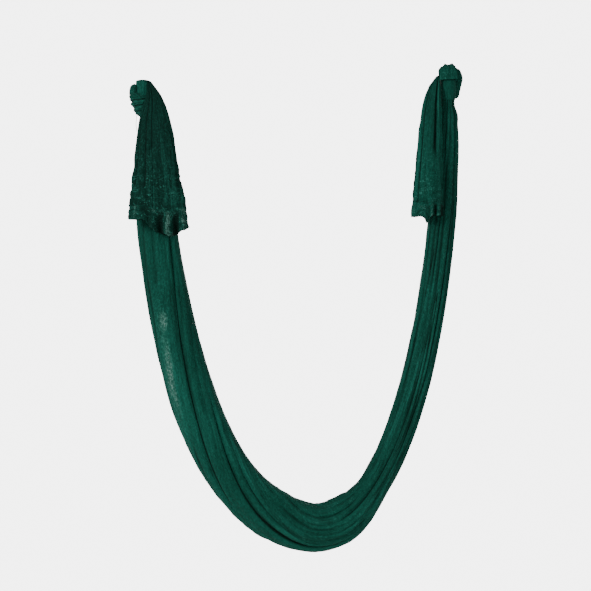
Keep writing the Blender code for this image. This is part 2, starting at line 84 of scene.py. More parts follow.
class HammockHang(bpy.types.PropertyGroup):
    """Where the two eyes hang and how the middle line of the cloth falls between them."""

    eye_span: measure("Eye Span", "Level distance between the eyes", 1.0387, min=0.3)
    eye_rise: measure("Eye Rise", "How much higher the right eye hangs", 0.0493)
    rod_hole: measure("Rod Hole", "Radius left free for the rod", 0.01, min=0.004)
    inner_turn: measure("Inner Turn", "Thickness of the gripped turn", 0.003, min=0.0005)
    left_lean: lean("Left Lean", "Lean of the left arm", 4.53)
    right_lean: lean("Right Lean", "Lean of the right arm", -0.35)
    left_fall: measure("Left Fall", "Straight pull of the left arm", 0.94)
    right_fall: measure("Right Fall", "Straight pull of the right arm", 0.882)
    left_sweep: measure("Left Sweep", "Flat run of the seat's left half", 0.351)
    right_sweep: measure("Right Sweep", "Flat run of the seat's right half", 0.277)
    seat_place: measure("Seat Place", "Where along X the cloth is lowest", 0.565)
    seat_drop: measure("Seat Drop", "Depth of the middle line", 1.5)
    seat_tilt: lean("Seat Tilt", "Fall of the seat to the right", 10.0)
    seat_back: measure("Seat Back", "How far the seat hangs back", 0.01)


class HammockSling(bpy.types.PropertyGroup):
    """The gathered cloth between the knots."""

    cloth_width: measure("Cloth Width", "Width of the cloth as cut", 2.8)
    left_neck: measure("Left Neck", "Width inside the left knot", 0.03)
    left_arm: measure("Left Arm", "Width of the left arm", 0.1346)
    left_thigh: measure("Left Thigh", "Width low on the left arm", 0.1555)
    seat_left: measure("Seat Left", "Width of the seat's left half", 0.1573)
    seat_middle: measure("Seat Middle", "Width of the seat's middle", 0.167)
    seat_right: measure("Seat Right", "Width of the seat's right half", 0.1468)
    right_low: measure("Right Low", "Width where the right arm begins", 0.1012)
    right_thigh: measure("Right Thigh", "Width low on the right arm", 0.1025)
    right_arm: measure("Right Arm", "Width of the right arm", 0.0933)
    right_high: measure("Right High", "Width high on the right arm", 0.08)
    right_collar: measure("Right Collar", "Width under the right knot", 0.068)
    right_neck: measure("Right Neck", "Width inside the right knot", 0.044)
    collar: measure("Collar", "Swell of the cloth below the right cup", 0.004)
    flatness: FloatProperty(name="Flatness", description="Depth of the arms for their width",
                            default=0.78, min=0.3, max=1.2)
    knot_length: measure("Knot Length", "Neck length inside each knot", 0.099)
    flatten_run: measure("Flatten Run", "Length over which the round neck flattens", 0.3)
    rings: IntProperty(name="Rings", description="Rows of points along the cloth", default=335,
                       min=60)
    ripple: measure("Ripple", "Height of the soft lengthwise wrinkles", 0.0021)


class HammockTails(bpy.types.PropertyGroup):
    """The cloth's two free ends."""

    rings: IntProperty(name="Rings", description="Rows of points down each tail", default=120,
                       min=30)
    hem_height: measure("Hem Height", "Height of the turned hem", 0.045)
    hem_thick: measure("Hem Thickness", "Half thickness of the hem", 0.0009)
    frill: measure("Frill", "Depth of the small ruffles of the hem", 0.0038)
    stitch_length: measure("Stitch Length", "Length of one stitch", 0.0032)
    stitch_gap: measure("Stitch Gap", "Space between two stitches", 0.0018)
    thread_radius: measure("Thread Radius", "Half the sewing thread", 0.0004)


class HammockKnots(bpy.types.PropertyGroup):
    """Turns of cloth that make the two knots."""

    strap_left: measure("Strap Left", "Left side of the strap", -0.0202)
    strap_right: measure("Strap Right", "Right side of the strap", 0.0172)
    strap_thick: measure("Strap Thickness", "Thickness of the strap", 0.009)
    wrap_top: measure("Wrap Top", "Radius of the first wrap", 0.0118)
    ball_drop: measure("Ball Drop", "Depth of the wraps' lower end", 0.106)
    lobe_top: measure("Lobe Top", "Height of the strand's upper end", 0.006)
    rod_room: measure("Rod Room", "Half height kept free at the eye", 0.0072)
    thread_radius: measure("Loose Thread", "Half the loose thread", 0.0009)
    cap_half: measure("Cap Half Width", "Half the width of the cap", 0.0306)
    cap_thick: measure("Cap Thickness", "Thickness of the cap", 0.012)
    cap_drop: measure("Cap Drop", "Depth of the cap's folded edge", 0.029)
    cup_wall: measure("Cup Wall", "Thickness of the cup at its bulge", 0.0068)
    cup_length: measure("Cup Length", "Height of the cup", 0.067)
    roll_radius: measure("Roll Radius", "Radius of the roll", 0.0099)
    roll_length: measure("Roll Length", "Height of the roll", 0.096)


class HammockFabric(bpy.types.PropertyGroup):
    """Colours and knit of the cloth."""

    # Painted shade: the colour that folds, creases, hollows and shaded pieces are darkened to.
    shade: tint("Shade", "Colour deep between the folds", 0.0001, 0.0075, 0.0048)
    body: tint("Body", "Main colour of the cloth", 0.0011, 0.0405, 0.0266)
    # Painted highlights: the lit patches of the knit, single glinting stitches and the lit tops
    # of puckers.
    bloom: tint("Bloom", "Colour where the knit catches light", 0.0044, 0.093, 0.0645)
    glint: tint("Glint", "Colour of single bright knit stitches", 0.014, 0.17, 0.124)
    gleam: tint("Gleam", "Colour of the tops of small puckers", 0.02, 0.135, 0.102)
    # Painted satin highlight on the cloth; the sewing thread's random lighter wear uses the same
    # name.
    wear_and_sheen: tint("Worn", "Colour of rubbed, satin patches", 0.15, 0.26, 0.22)
    thread: tint("Thread", "Colour of the sewing thread", 0.01, 0.08, 0.056)
    loose: tint("Loose Thread", "Colour of the loose thread", 0.015, 0.017, 0.017)
    wale: measure("Wale", "Width of one knitted column", 0.0013)
    course: measure("Course", "Height of one knitted row", 0.0011)


class HammockStage(bpy.types.PropertyGroup):
    """Floor, lights and camera."""

    floor_drop: measure("Floor Drop", "Depth of the floor below the eye", 2.2)
    floor_colour: tint("Floor Colour", "Pale studio floor", 0.86, 0.86, 0.85)
    view_width: measure("View Width", "Width that the picture takes in", 2.0094)
    view_x: measure("View X", "Middle of the picture along X", 0.5202)
    view_z: measure("View Z", "Middle of the picture along Z", -0.7123)
    distance: measure("Distance", "From the camera to the hammock", 9.0)


def settings(*names):
    """The scene's own groups of settings, by name."""
    return [getattr(bpy.context.scene, "hammock_" + name) for name in names]


# Numbers shared by the pieces

def smooth(share):
    """Ease from 0 to 1 with level ends."""
    share = np.clip(share, 0.0, 1.0)
    return share * share * (3 - 2 * share)


def bell(places, middle, half):
    """Bell curve that is 1 in the middle and 0.37 at half a width from it."""
    return np.exp(-((places - middle) / half) ** 2)


def between(stations, places):
    """Values at places among (place, value) stations, eased from each to the next."""
    values = np.full(places.shape, float(stations[0][1]))
    for (start, low), (end, high) in zip(stations, stations[1:]):
        inside = places > start
        values[inside] = low + (high - low) * smooth((places[inside] - start) / (end - start))
    return values


def flowing(stations, places):
    """Values at places on one flowing curve through (place, value) stations."""
    x, y = np.array(stations, float).T
    low = np.maximum(np.arange(len(x)) - 1, 0)
    high = np.minimum(np.arange(len(x)) + 1, len(x) - 1)
    slope = (y[high] - y[low]) / (x[high] - x[low])
    places = np.clip(places, x[0], x[-1])
    i = np.clip(np.searchsorted(x, places) - 1, 0, len(x) - 2)
    step = x[i + 1] - x[i]
    t = (places - x[i]) / step
    start = (1 + 2 * t) * (1 - t) ** 2 * y[i] + t * (1 - t) ** 2 * step * slope[i]
    end = t * t * (3 - 2 * t) * y[i + 1] + t * t * (t - 1) * step * slope[i + 1]
    return start + end


def drift(x, y, seed):
    """Smooth wandering value from -1 to 1 over a plane, the same on every run."""
    table = np.random.default_rng(seed).random((64, 64)) * 2 - 1
    x, y = np.broadcast_arrays(np.asarray(x, float), np.asarray(y, float))
    column, row = np.floor(x).astype(int), np.floor(y).astype(int)
    u, v = smooth(x - column), smooth(y - row)
    a, b, c, d = (table[(column + i) % 64, (row + j) % 64]
                  for j in (0, 1) for i in (0, 1))
    return (a * (1 - u) + b * u) * (1 - v) + (c * (1 - u) + d * u) * v


def creased(x, y, seed):
    """Wandering ridges with sharp valleys between them, from 0 to 1."""
    return 1 - np.abs(drift(x, y, seed)) ** 0.7


def wrinkled(x, y, seed):
    """The same ridges and valleys about their mean height, so that they add no size."""
    return creased(x, y, seed) - 0.55


def bezier(points, t):
    """Points on a cubic curve with its four control points."""
    a, b, c, d = points
    return a * (1 - t) ** 3 + b * 3 * t * (1 - t) ** 2 + c * 3 * t * t * (1 - t) + d * t ** 3


def unit(vectors):
    """Vectors with length one."""
    return vectors / np.maximum(np.linalg.norm(vectors, axis=-1, keepdims=True), 1e-12)


def summed(steps):
    """Running sum of steps, from 0."""
    return np.concatenate(([0.0], np.cumsum(steps)))


def gaps(rows, axis):
    """Distances from each point of some rows to the next one, along (0) or across (1)."""
    return np.linalg.norm(np.diff(rows, axis=axis), axis=-1)


def run_of(points):
    """Length run at each point of a path."""
    return summed(gaps(points[:, :3], 0))


def on_path(points, run, places):
    """Points at places along a path, with any further columns that the points carry."""
    return np.stack([np.interp(places, run, column) for column in points.T], axis=-1)


def resampled(points, count):
    """A path's points at evenly spaced lengths."""
    points = np.asarray(points, float)
    run = run_of(points)
    return on_path(points, run, np.linspace(0, run[-1], count))


def round_path(middle, side, other, x, y):
    """Rows of points round a path, each x to its side and y the other way."""
    return middle[:, None] + side * x[..., None] + other * y[..., None]


class Fall:
    """Middle line of the gathered cloth from the left neck to the right neck."""

    HALF_SAMPLES = 300
    STEP = 0.002
    WIDTH_PLACES = {"left_arm": 0.15, "left_thigh": 0.32, "seat_left": 0.42,
                    "seat_middle": 0.46, "seat_right": 0.525, "right_low": 0.585,
                    "right_thigh": 0.65, "right_arm": 0.84, "right_high": 0.93,
                    "right_collar": 0.955}

    def __init__(self):
        hang, sling = self.hang, self.sling = settings("hang", "sling")
        self.tilt = atan2(hang.eye_rise, hang.eye_span)
        self.rod = hang.rod_hole + hang.inner_turn
        self.left_eye = np.zeros(3)
        self.right_eye = np.array((hang.eye_span, 0.0, hang.eye_rise))
        seat = np.array((hang.seat_place, 0.0, -hang.seat_drop))
        along = np.array((cos(hang.seat_tilt), 0.0, -sin(hang.seat_tilt)))
        left = self.left_eye - (0, 0, self.neck_drop(sling.left_neck))
        right = self.right_eye - (0, 0, self.neck_drop(sling.right_neck))
        left_way = np.array((sin(hang.left_lean), 0, -cos(hang.left_lean)))
        right_way = np.array((-sin(hang.right_lean), 0, -cos(hang.right_lean)))
        t = np.linspace(0, 1, self.HALF_SAMPLES + 1)[:, None]
        first = bezier((left, left + left_way * hang.left_fall,
                        seat - along * hang.left_sweep, seat), t)
        second = bezier((seat, seat + along * hang.right_sweep,
                         right + right_way * hang.right_fall, right), t)
        self.points = np.concatenate((first, second[1:]))
        self.run = run_of(self.points)
        self.total = float(self.run[-1])

    def neck_drop(self, neck):
        """Depth of a neck's top below its eye."""
        return self.rod / cos(self.tilt) + neck / 2 * sin(self.tilt)

    def at(self, length):
        """Points and directions at lengths along the cloth."""
        points = on_path(self.points, self.run, length)
        points[..., 1] = self.hang.seat_back * np.sin(pi * length / self.total) ** 2
        ahead, behind = (on_path(self.points, self.run, length + step)
                         for step in (self.STEP, -self.STEP))
        return points, unit(ahead - behind)

    def arm_front(self, drop, right=False):
        """Y of the front of one arm at a depth below the left eye."""
        lowest = int(np.argmin(self.points[:, 2]))
        part = slice(len(self.points) - 1, lowest, -1) if right else slice(0, lowest)
        length = np.interp([drop], -self.points[part, 2], self.run[part])
        return self.at(length)[0][0, 1] - float(self.depth(length)[0]) / 2

    def width(self, length):
        """Width of the gathered cloth in the plane of the U."""
        s, total = self.sling, self.total
        stations = [(place * total, getattr(s, key)) for key, place in self.WIDTH_PLACES.items()]
        return between([(s.knot_length, s.left_neck), *stations,
                        (total - s.knot_length, s.right_neck)], length)

    def depth(self, length):
        """Depth of the gathered cloth from front to back."""
        inside = np.minimum(length, self.total - length) - self.sling.knot_length
        flat = 1 + (self.sling.flatness - 1) * smooth(inside / self.sling.flatten_run)
        return self.width(length) * flat


# Cloth from rows of points

class Pleats:
    """Columns of points round a gathered section.

    The outer folds lie side by side, given as degrees of the section, with a crease that
    dives in between each and the next. The rest of the cloth lies in layers inside them.
    Its methods take lengths and girths as columns, one row of points each.
    """

    def __init__(self, folds, first, core=0.55, slant=7.0, step=4.2, mouth=0.13, layers=0):
        columns, dips, slits = [], [], []
        self.mouth, count = mouth, len(folds)

        def add(at, share, place, shown, behind=0.0, ahead=0.0, slit=0.0):
            columns.append((radians(at), share, place, shown))
            dip, gap = np.zeros(count), np.zeros(count)
            before = (int(place) - 1) % count
            dip[before] += behind
            dip[int(place) % count] += ahead
            gap[before] += slit
            dips.append(dip)
            slits.append(gap)

        # Each column's fourth value says how far it stays out of painted shade: 1 on the outer
        # folds, 0.2 at a crease's lips and 0 inside.
        half_in = (1 + core) / 2
        add(first + slant, core, 0, 0.0, slit=1)
        add(first + slant * 0.5, half_in, 0, 0.0, slit=1)
        for k, width in enumerate(folds):
            steps = max(3, round(width / step))
            inside = 0.5 + (width - 1.0) * np.linspace(0, 1, steps)
            for before in (0.0, *inside, width):
                after = width - before
                add(first + 0.7 + before * (1 - 1.0 / width), 1, k + min(before / width, 0.99),
                    1.0, max(0, 1 - before / 15) ** 2, 0.55 * max(0, 1 - after / 15) ** 2,
                    max(0, 1 - before / 2))
            first += width
            add(first + slant * 0.12 - 0.3, 0.87, k + 1, 0.2)
            add(first + slant * 0.5, half_in, k + 1, 0.0)
            add(first + slant, core, k + 1, 0.0)
            if k < count - 1:
                add(first + slant * 0.5 + 0.9, half_in, k + 1, 0.0, slit=1)
                add(first + slant * 0.12 + 0.7, 0.87, k + 1, 0.2, slit=1)
        reach = core * 0.9
        for k in range(layers):
            b = reach * (1.8 * k / (layers - 1) - 0.9)
            half = (reach * reach - b * b) ** 0.5 * (-1) ** k
            for t in (1.0, 0.35, -0.35, -1.0):
                a, c = half * t, b - reach * 0.4 / layers * (abs(t) == 1) * t
                add(degrees(atan2(c, a)), hypot(a, c), count, 0.0)
        self.angle, self.share, self.place, self.shown = np.array(columns).T
        self.dips, self.slits = np.array(dips).T, np.array(slits).T
        self.fold = np.floor(self.place)

    def shaped(self, opening):
        """Shares of the radius, how much is seen and turns, where each crease opens so far."""
        dip = opening @ self.dips
        shut = radians(1.1) * (np.clip(1 - opening * 1.5, 0, 1) @ self.slits)
        # The second value falls towards 0 where a crease opens, as painted shade into it.
        return self.share - self.mouth * dip, self.shown * (1 - 0.6 * np.clip(dip, 0, 1)), shut

    def wander(self, along, amount, seed):
        """Small turning of every crease as it runs along the cloth, in radians."""
        return amount * drift(self.place * 1.7, along, seed)

    def hollows(self, along, girth, table, seed):
        """Depth of soft hollows that run along the cloth, with raised lips, in metres.

        Each hollow is (degrees round the section, start, end, depth, half width).
        """
        depth = np.zeros((len(along), len(self.angle)))
        for k, (at, start, end, deep, half) in enumerate(table):
            grown = smooth((along - start) / (0.3 * (end - start)))
            grown = grown * smooth((end - along) / (0.3 * (end - start)))
            sway = radians(9) * drift(along * 5 + k * 7.3, along * 0, seed + k)
            reach = (self.angle - radians(at) - sway) * girth / half
            profile = np.exp(-reach ** 2) - 0.4 * np.exp(-(np.abs(reach) - 1.9) ** 2)
            depth += deep * grown * profile
        return depth * self.shown


def new_piece(name, points, faces):
    """Smooth mesh object from points and faces."""
    mesh = bpy.data.meshes.new(name)
    mesh.from_pydata(points, [], faces)
    mesh.polygons.foreach_set("use_smooth", [True] * len(mesh.polygons))
    obj = bpy.data.objects.new(name, mesh)
    bpy.context.scene.collection.objects.link(obj)
    return obj


def weave_rows(name, rows, along=None):
    """Open sheet through rows of points, with its cloth measured in metres as its UV map."""
    height, width = rows.shape[:2]
    grid = np.arange(height * width).reshape(height, width)
    faces = np.stack((grid[:-1, :-1], grid[:-1, 1:], grid[1:, 1:], grid[1:, :-1]), axis=-1)
    obj = new_piece(name, rows.reshape(-1, 3).tolist(), faces.reshape(-1, 4).tolist())
    along = summed(gaps(rows, 0).max(axis=1)) if along is None else along
    u, v = np.meshgrid(summed(gaps(rows, 1).mean(axis=0)), along)
    loops = np.empty(len(obj.data.loops), int)
    obj.data.loops.foreach_get("vertex_index", loops)
    uv = np.stack((u.ravel()[loops], v.ravel()[loops]), axis=-1)
    obj.data.uv_layers.new(name="cloth").data.foreach_set("uv", uv.ravel())
    obj.data.update()
    return obj


def face_outward(obj, middles):
    """Turn the sheet's faces away from the middle line of its rows."""
    polygons = obj.data.polygons

    def read(key, size):
        values = np.empty(len(polygons) * size)
        polygons.foreach_get(key, values)
        return values.reshape(-1, size)

    per_row = len(polygons) // (len(middles) - 1)
    outward = read("center", 3) - np.repeat((middles[:-1] + middles[1:]) / 2, per_row, axis=0)
    if (read("normal", 3) * outward * read("area", 1)).sum() < 0:
        obj.data.flip_normals()


def lay_cloth(name, rows, middle, finish, nodes, body=None, along=None, **fields):
    """Sheet through rows of points that stands for CAD nodes.

    Its faces turn away from the middle line, and each field is a value on every point.
    """
    cloth = weave_rows(name, rows, along)
    if middle is not None:
        face_outward(cloth, middle)
    for field, values in fields.items():
        layer = cloth.data.attributes.new(field, "FLOAT", "POINT")
        values = np.broadcast_to(values, rows.shape[:2])
        layer.data.foreach_set("value", np.asarray(values, np.float32).ravel())
    cloth.data.materials.append(finish)
    if body:
        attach(cloth, body)
    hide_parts(*nodes)
    return cloth


# Finishes

class Field:
    """A shader value that takes part in Python sums."""

    def __init__(self, nodes, socket):
        self.nodes, self.socket = nodes, socket

    def math(self, operation, *values):
        """Value of a Math node."""
        node = self.nodes.add("ShaderNodeMath", {"operation": operation}, values)
        return Field(self.nodes, node.outputs[0])

    def __add__(self, other):
        return self.math("ADD", self, other)

    def __sub__(self, other):
        return self.math("SUBTRACT", self, other)

    def __rsub__(self, other):
        return self.math("SUBTRACT", other, self)

    def __mul__(self, other):
        return self.math("MULTIPLY", self, other)

    __radd__, __rmul__ = __add__, __mul__

    def __abs__(self):
        return self.math("ABSOLUTE", self)

    def wave(self):
        """Sine of the value."""
        return self.math("SINE", self)

    def at_most(self, other):
        """The smaller of the two."""
        return self.math("MINIMUM", self, other)

    def ease(self, low, high):
        """0 below low, 1 above high and a soft step between."""
        node = self.nodes.add("ShaderNodeMapRange", {"interpolation_type": "SMOOTHSTEP"},
                              {"Value": self, "From Min": low, "From Max": high})
        return Field(self.nodes, node.outputs[0])


class Finish:
    """A material's nodes, with one way to add any of them."""

    def __init__(self, name):
        self.material = bpy.data.materials.new(name)
        self.material.use_nodes = True
        self.tree = self.material.node_tree

    def add(self, kind, settings=None, values=()):
        """New node of a kind, its settings made first, then its sockets' values or links."""
        node = self.tree.nodes.new(kind)
        for key, setting in (settings or {}).items():
            setattr(node, key, setting)
        self.feed(node, values)
        return node

    def feed(self, node, values):
        """Link each of a node's sockets to a field or socket, or set its plain value."""
        for key, value in values.items() if isinstance(values, dict) else enumerate(values):
            socket = node.inputs[key]
            value = value.socket if isinstance(value, Field) else value
            if isinstance(value, bpy.types.NodeSocket):
                self.tree.links.new(value, socket)
            elif socket.type == "RGBA" and len(value) == 3:
                socket.default_value = (*value, 1)
            else:
                socket.default_value = value

    def place(self):
        """Places on the piece, in its Object coordinates."""
        return self.add("ShaderNodeTexCoord").outputs["Object"]

    def split(self, vector):
        """A vector's three parts."""
        node = self.add("ShaderNodeSeparateXYZ", {}, {"Vector": vector})
        return [Field(self, socket) for socket in node.outputs]

    def noise(self, vector, stretch, detail=3.0, roughness=0.55, seed=0.0):
        """Cloudy value from 0 to 1 with its own size each way, in lumps per metre."""
        place = self.add("ShaderNodeMapping", {}, {"Vector": vector, "Scale": stretch,
                                                   "Location": (seed, seed * 0.7, seed * 1.3)})
        node = self.add("ShaderNodeTexNoise", {}, {"Vector": place.outputs[0], "Scale": 1.0,
                                                   "Detail": detail, "Roughness": roughness})
        return Field(self, node.outputs[0])

    def mix(self, factor, a, b):
        """Colour between two colours."""
        node = self.add("ShaderNodeMix", {"data_type": "RGBA"}, {0: factor, 6: a, 7: b})
        return node.outputs[2]

    def bump(self, height, distance, strength, before=None):
        """Bumped normal from a height field, over one made before."""
        values = {"Height": height, "Distance": distance, "Strength": strength}
        if before is not None:
            values["Normal"] = before
        return self.add("ShaderNodeBump", {}, values).outputs[0]

    def done(self, values):
        """The material, once its shader's sockets are fed."""
        self.feed(self.tree.nodes["Principled BSDF"], values)
        return self.material


def knit(name, seed=0.0, dusk=0.0):
    """Stretch knit cloth: fine knitted columns, long soft wrinkles, satin and puckers.

    Four values on the points guide it. The first is 0 deep in a fold, where the colour falls to
    painted shade;
    the second is 1 on a painted satin highlight, which also brightens the painted lit patches
    and glints;
    pull is 1 where a seam or a knot draws the cloth into short cross wrinkles, whose tops get
    painted highlights and whose pits painted shade; and lined is 1 where it is gathered into
    sharp lengthwise lines, with painted highlights on their crests and painted shade in their
    grooves. The last argument darkens the whole cloth towards the shade colour as painted shade.
    """
    fabric, = settings("fabric")
    finish = Finish(name)
    mix = finish.mix
    place = finish.add("ShaderNodeUVMap", {"uv_map": "cloth"}).outputs[0]
    across, along, _ = finish.split(place)
    shown, rub, pull, lined = (
        Field(finish, finish.add("ShaderNodeAttribute", {"attribute_name": key}).outputs["Fac"])
        for key in ("shown", "rub", "pull", "lined"))

    def cloud(wide, high, detail, roughness, shift):
        return finish.noise(place, (wide, high, 1.0), detail, roughness, seed + shift)

    def ridges(wide, high, shift, low, full):
        line = cloud(wide, high, 2.0, 0.45, shift)
        return (1 - abs(line * 2 - 1).ease(0.0, 0.12)) * lined * broad.ease(low, full)

    wales = abs((across * (pi / fabric.wale)).wave())
    courses = (along * (2 * pi / fabric.course) + wales * 1.6).wave() * 0.5 + 0.5
    long = cloud(85.0, 9.0, 4.0, 0.6, 0)
    cross = cloud(70.0, 80.0, 2.0, 0.6, 13)
    fine = cloud(260.0, 90.0, 3.0, 0.6, 3)
    grain = cloud(210.0, 150.0, 3.0, 0.75, 5)
    broad = cloud(6.0, 2.6, 3.0, 0.5, 8)
    # Sharp lengthwise lines: bumps, with painted highlights on their crests and painted shade in
    # their grooves.
    groove = ridges(40.0, 1.7, 17, 0.25, 0.65)
    crest = ridges(44.0, 2.0, 19, 0.3, 0.6)
    line = 1 - abs(long * 2 - 1)
    pucker = 1 - abs(cross * 2 - 1)
    height = long * 0.4 + line * line * 0.6
    height = height + (pucker * pucker - height) * (pull * 0.75) + crest * 0.14 - groove * 0.24
    normal = finish.bump(height, 0.013, 0.9)
    normal = finish.bump(fine * 0.5 + grain * 0.5, 0.0026, 0.9, normal)
    normal = finish.bump(wales * 0.7 + courses * 0.3, 0.0003, 0.6, normal)
    # Painted highlight: lit patches where the colour rises from the body colour to bloom.
    lit = (broad * 1.1 + line * 0.3 + fine * 0.45 + rub * 0.3 - 0.65).ease(0.05, 1.0)
    specks = (grain * 0.7 + fine * 0.3).ease(0.46, 0.62)
    colour = mix(lit, fabric.body, fabric.bloom)
    # Painted shade: the whole piece darkened towards the shade colour.
    if dusk:
        colour = mix(dusk, colour, fabric.shade)
    # Painted glints on single stitches and painted highlights along the lines' crests.
    colour = mix((specks * (0.14 + rub * 0.6) + crest * 0.42) * shown, colour, fabric.glint)
    # Painted highlights on the tops of small puckers.
    patchy = cloud(34.0, 30.0, 2.0, 0.5, 23).ease(0.4, 0.58)
    fleck = (pucker - 0.87).ease(0.0, 0.1) * specks.ease(0.0, 0.7) * patchy * pull
    colour = mix((fleck * 1.8).at_most(1), colour, fabric.gleam)
    # Painted satin highlight, speckled.
    highlight_patch = (rub - 0.35).ease(0.0, 0.9) * (0.08 + specks * 0.92)
    colour = mix(highlight_patch, colour, fabric.wear_and_sheen)
    # Painted shade in the low parts of the wrinkles and puckers and in the lines' grooves.
    pit = (0.58 - height).ease(0.0, 0.4) * (0.5 + pull * 0.65) + groove * 0.7
    colour = mix(pit.at_most(1), colour, fabric.shade)
    # Painted shade deep in the folds and creases.
    colour = mix(shown.ease(0.0, 0.85), fabric.shade, colour)
    return finish.done({
        "Base Color": colour, "Roughness": 0.72 - lit * 0.14 + fine * 0.14, "Normal": normal,
        "Specular IOR Level": 0.1, "Specular Tint": (0.75, 1, 0.92), "Sheen Weight": 0.02,
        "Sheen Roughness": 0.45, "Sheen Tint": (0.35, 0.85, 0.68)})


def sewing_thread(name, colour):
    """Twisted polyester thread."""
    fabric, = settings("fabric")
    finish = Finish(name)
    place = finish.place()
    x, y, z = finish.split(place)
    twist = ((x + y) * 3800 + z * 5200).wave() * 0.5 + 0.5
    wear_and_sheen = finish.noise(place, (240.0, 240.0, 240.0), 2.0)
    colour = finish.mix(wear_and_sheen.ease(0.35, 0.75), colour, [channel * 1.6 for channel in colour])
    # Painted shade in the grooves of the twist.
    return finish.done({"Base Color": finish.mix(twist * 0.35, colour, fabric.shade),
                        "Roughness": 0.42 + wear_and_sheen * 0.2,
                        "Normal": finish.bump(twist, 0.0002, 0.6)})


def lit_card(name, strength):
    """White card that glows evenly, as one that is lit from beyond the picture."""
    return Finish(name).done({"Base Color": (0.9, 0.9, 0.9), "Emission Color": (1, 1, 1),
                              "Emission Strength": strength})


def studio_floor(name, colour):
    """Pale matt floor with the faintest mottling."""
    finish = Finish(name)
    mottle = finish.noise(finish.place(), (1.5, 1.5, 1.5), 3.0)
    low = [channel * 0.97 for channel in colour]
    return finish.done({"Base Color": finish.mix(mottle, low, colour),
                        "Roughness": 0.85 + mottle * 0.1})


# Shapes of the pieces

FRONT = np.array((0.0, -1.0, 0.0))
THREAD_TOP = Vector((-0.0204, -0.012, -0.1))
THREAD_LENGTH = 0.056
# Widths of the outer folds and how the whole section turns along the cloth, in degrees.
SLING_FOLDS = (35, 100, 52, 26, 24, 28, 22, 26, 24, 23)
SLING_FIRST_FOLD = -8
FOLD_DRIFT = ((0, 0), (0.15, 0), (0.26, -27), (0.34, -50), (0.4, -80), (0.46, -122),
              (0.5, -154), (0.58, -166), (1, -185))
# How far each crease of the sling stands open, as (length along it, opening).
SLING_CREASES = (
    ((0, 0.3), (0.9, 0.35), (1.3, 0.25), (1.6, 0.1), (3.39, 0.1)),
    ((0, 1), (1.5, 1), (1.75, 0.9), (1.95, 0.2), (3.39, 0.1)),
    ((0, 0.1), (1.05, 0.15), (1.2, 0.8), (1.35, 1), (1.8, 1), (1.9, 0.2), (3.39, 0.1)),
    ((0, 0.05), (1.3, 0.1), (1.42, 0.9), (1.55, 0.6), (1.66, 0), (2, 0), (2.15, 0.7),
     (2.3, 0.5), (2.5, 0.2), (3.39, 0.3)),
    ((0, 0.05), (1.45, 0), (1.9, 0), (2.05, 0.4), (2.2, 0.9), (2.35, 0.6), (2.6, 0.8),
     (3, 0.9), (3.39, 0.8)),
    ((0, 0.05), (1.55, 0), (1.75, 0), (1.88, 1), (2.03, 1), (2.12, 0.5), (2.3, 0.8),
     (2.45, 0.5), (2.6, 0.05), (3.1, 0.1), (3.25, 0.5), (3.39, 0.6)),
    ((0, 0.05), (1.6, 0), (2.2, 0), (2.6, 0.3), (2.8, 0.9), (3.05, 0.7), (3.39, 0.6)),
    ((0, 0.05), (1.7, 0), (2, 0), (2.4, 0.5), (2.7, 0.2), (3, 0.4), (3.39, 0.5)),
    ((0, 0.05), (2, 0), (2.4, 0), (2.9, 0.5), (3.2, 0.3), (3.39, 0.5)),
    ((0, 0.3), (0.9, 0.3), (1.4, 0.2), (2.2, 0.3), (3.39, 0.5)))
# Soft hollows, as (degrees round the section, start, end, depth, half width).
SLING_HOLLOWS = (
    (44, 0.3, 1.3, 0.0022, 0.007), (62, 0.95, 1.75, 0.002, 0.006),
    (78, 0.25, 0.8, 0.0016, 0.008), (101, 1.12, 1.62, 0.003, 0.006),
    (112, 0.35, 1.05, 0.0018, 0.006), (140, 0.45, 1.3, 0.0018, 0.006),
    (150, 1.3, 1.62, 0.0026, 0.007), (158, 0.6, 1.5, 0.002, 0.006),
    (190, 1.38, 1.72, 0.0042, 0.007), (203, 1.62, 1.95, 0.0034, 0.005),
    (215, 1.5, 2.05, 0.004, 0.006), (228, 1.66, 1.98, 0.0034, 0.005),
    (240, 1.52, 1.84, 0.004, 0.006), (246, 2.05, 2.7, 0.0028, 0.005),
    (252, 1.6, 1.76, 0.0034, 0.005), (268, 1.58, 1.92, 0.004, 0.006),
    (266, 2.5, 3.25, 0.003, 0.005), (280, 1.74, 2.05, 0.003, 0.005),
    (292, 1.6, 2.5, 0.0026, 0.005), (302, 2.6, 3.2, 0.0026, 0.005),
    (317, 1.8, 3.05, 0.0024, 0.005), (218, 2.2, 3.2, 0.0026, 0.005),
    (340, 0.6, 1.4, 0.002, 0.005), (10, 0.4, 1.5, 0.0018, 0.005),
    (338, 1.66, 1.92, -0.0042, 0.018))
# The tails. At drops below the eye lie the edges, as lefts and rights of the eye, and the
# depths. Creases close at creases_end. The cloth leaves its knot along lead, and the hem's
# flutes are (start, first crest, pitch, height) across it and follow hem_line.
TAIL_FIRST_FOLD = -20
LEAD_TURNS = np.radians((84, 72, 58, 42, 22))
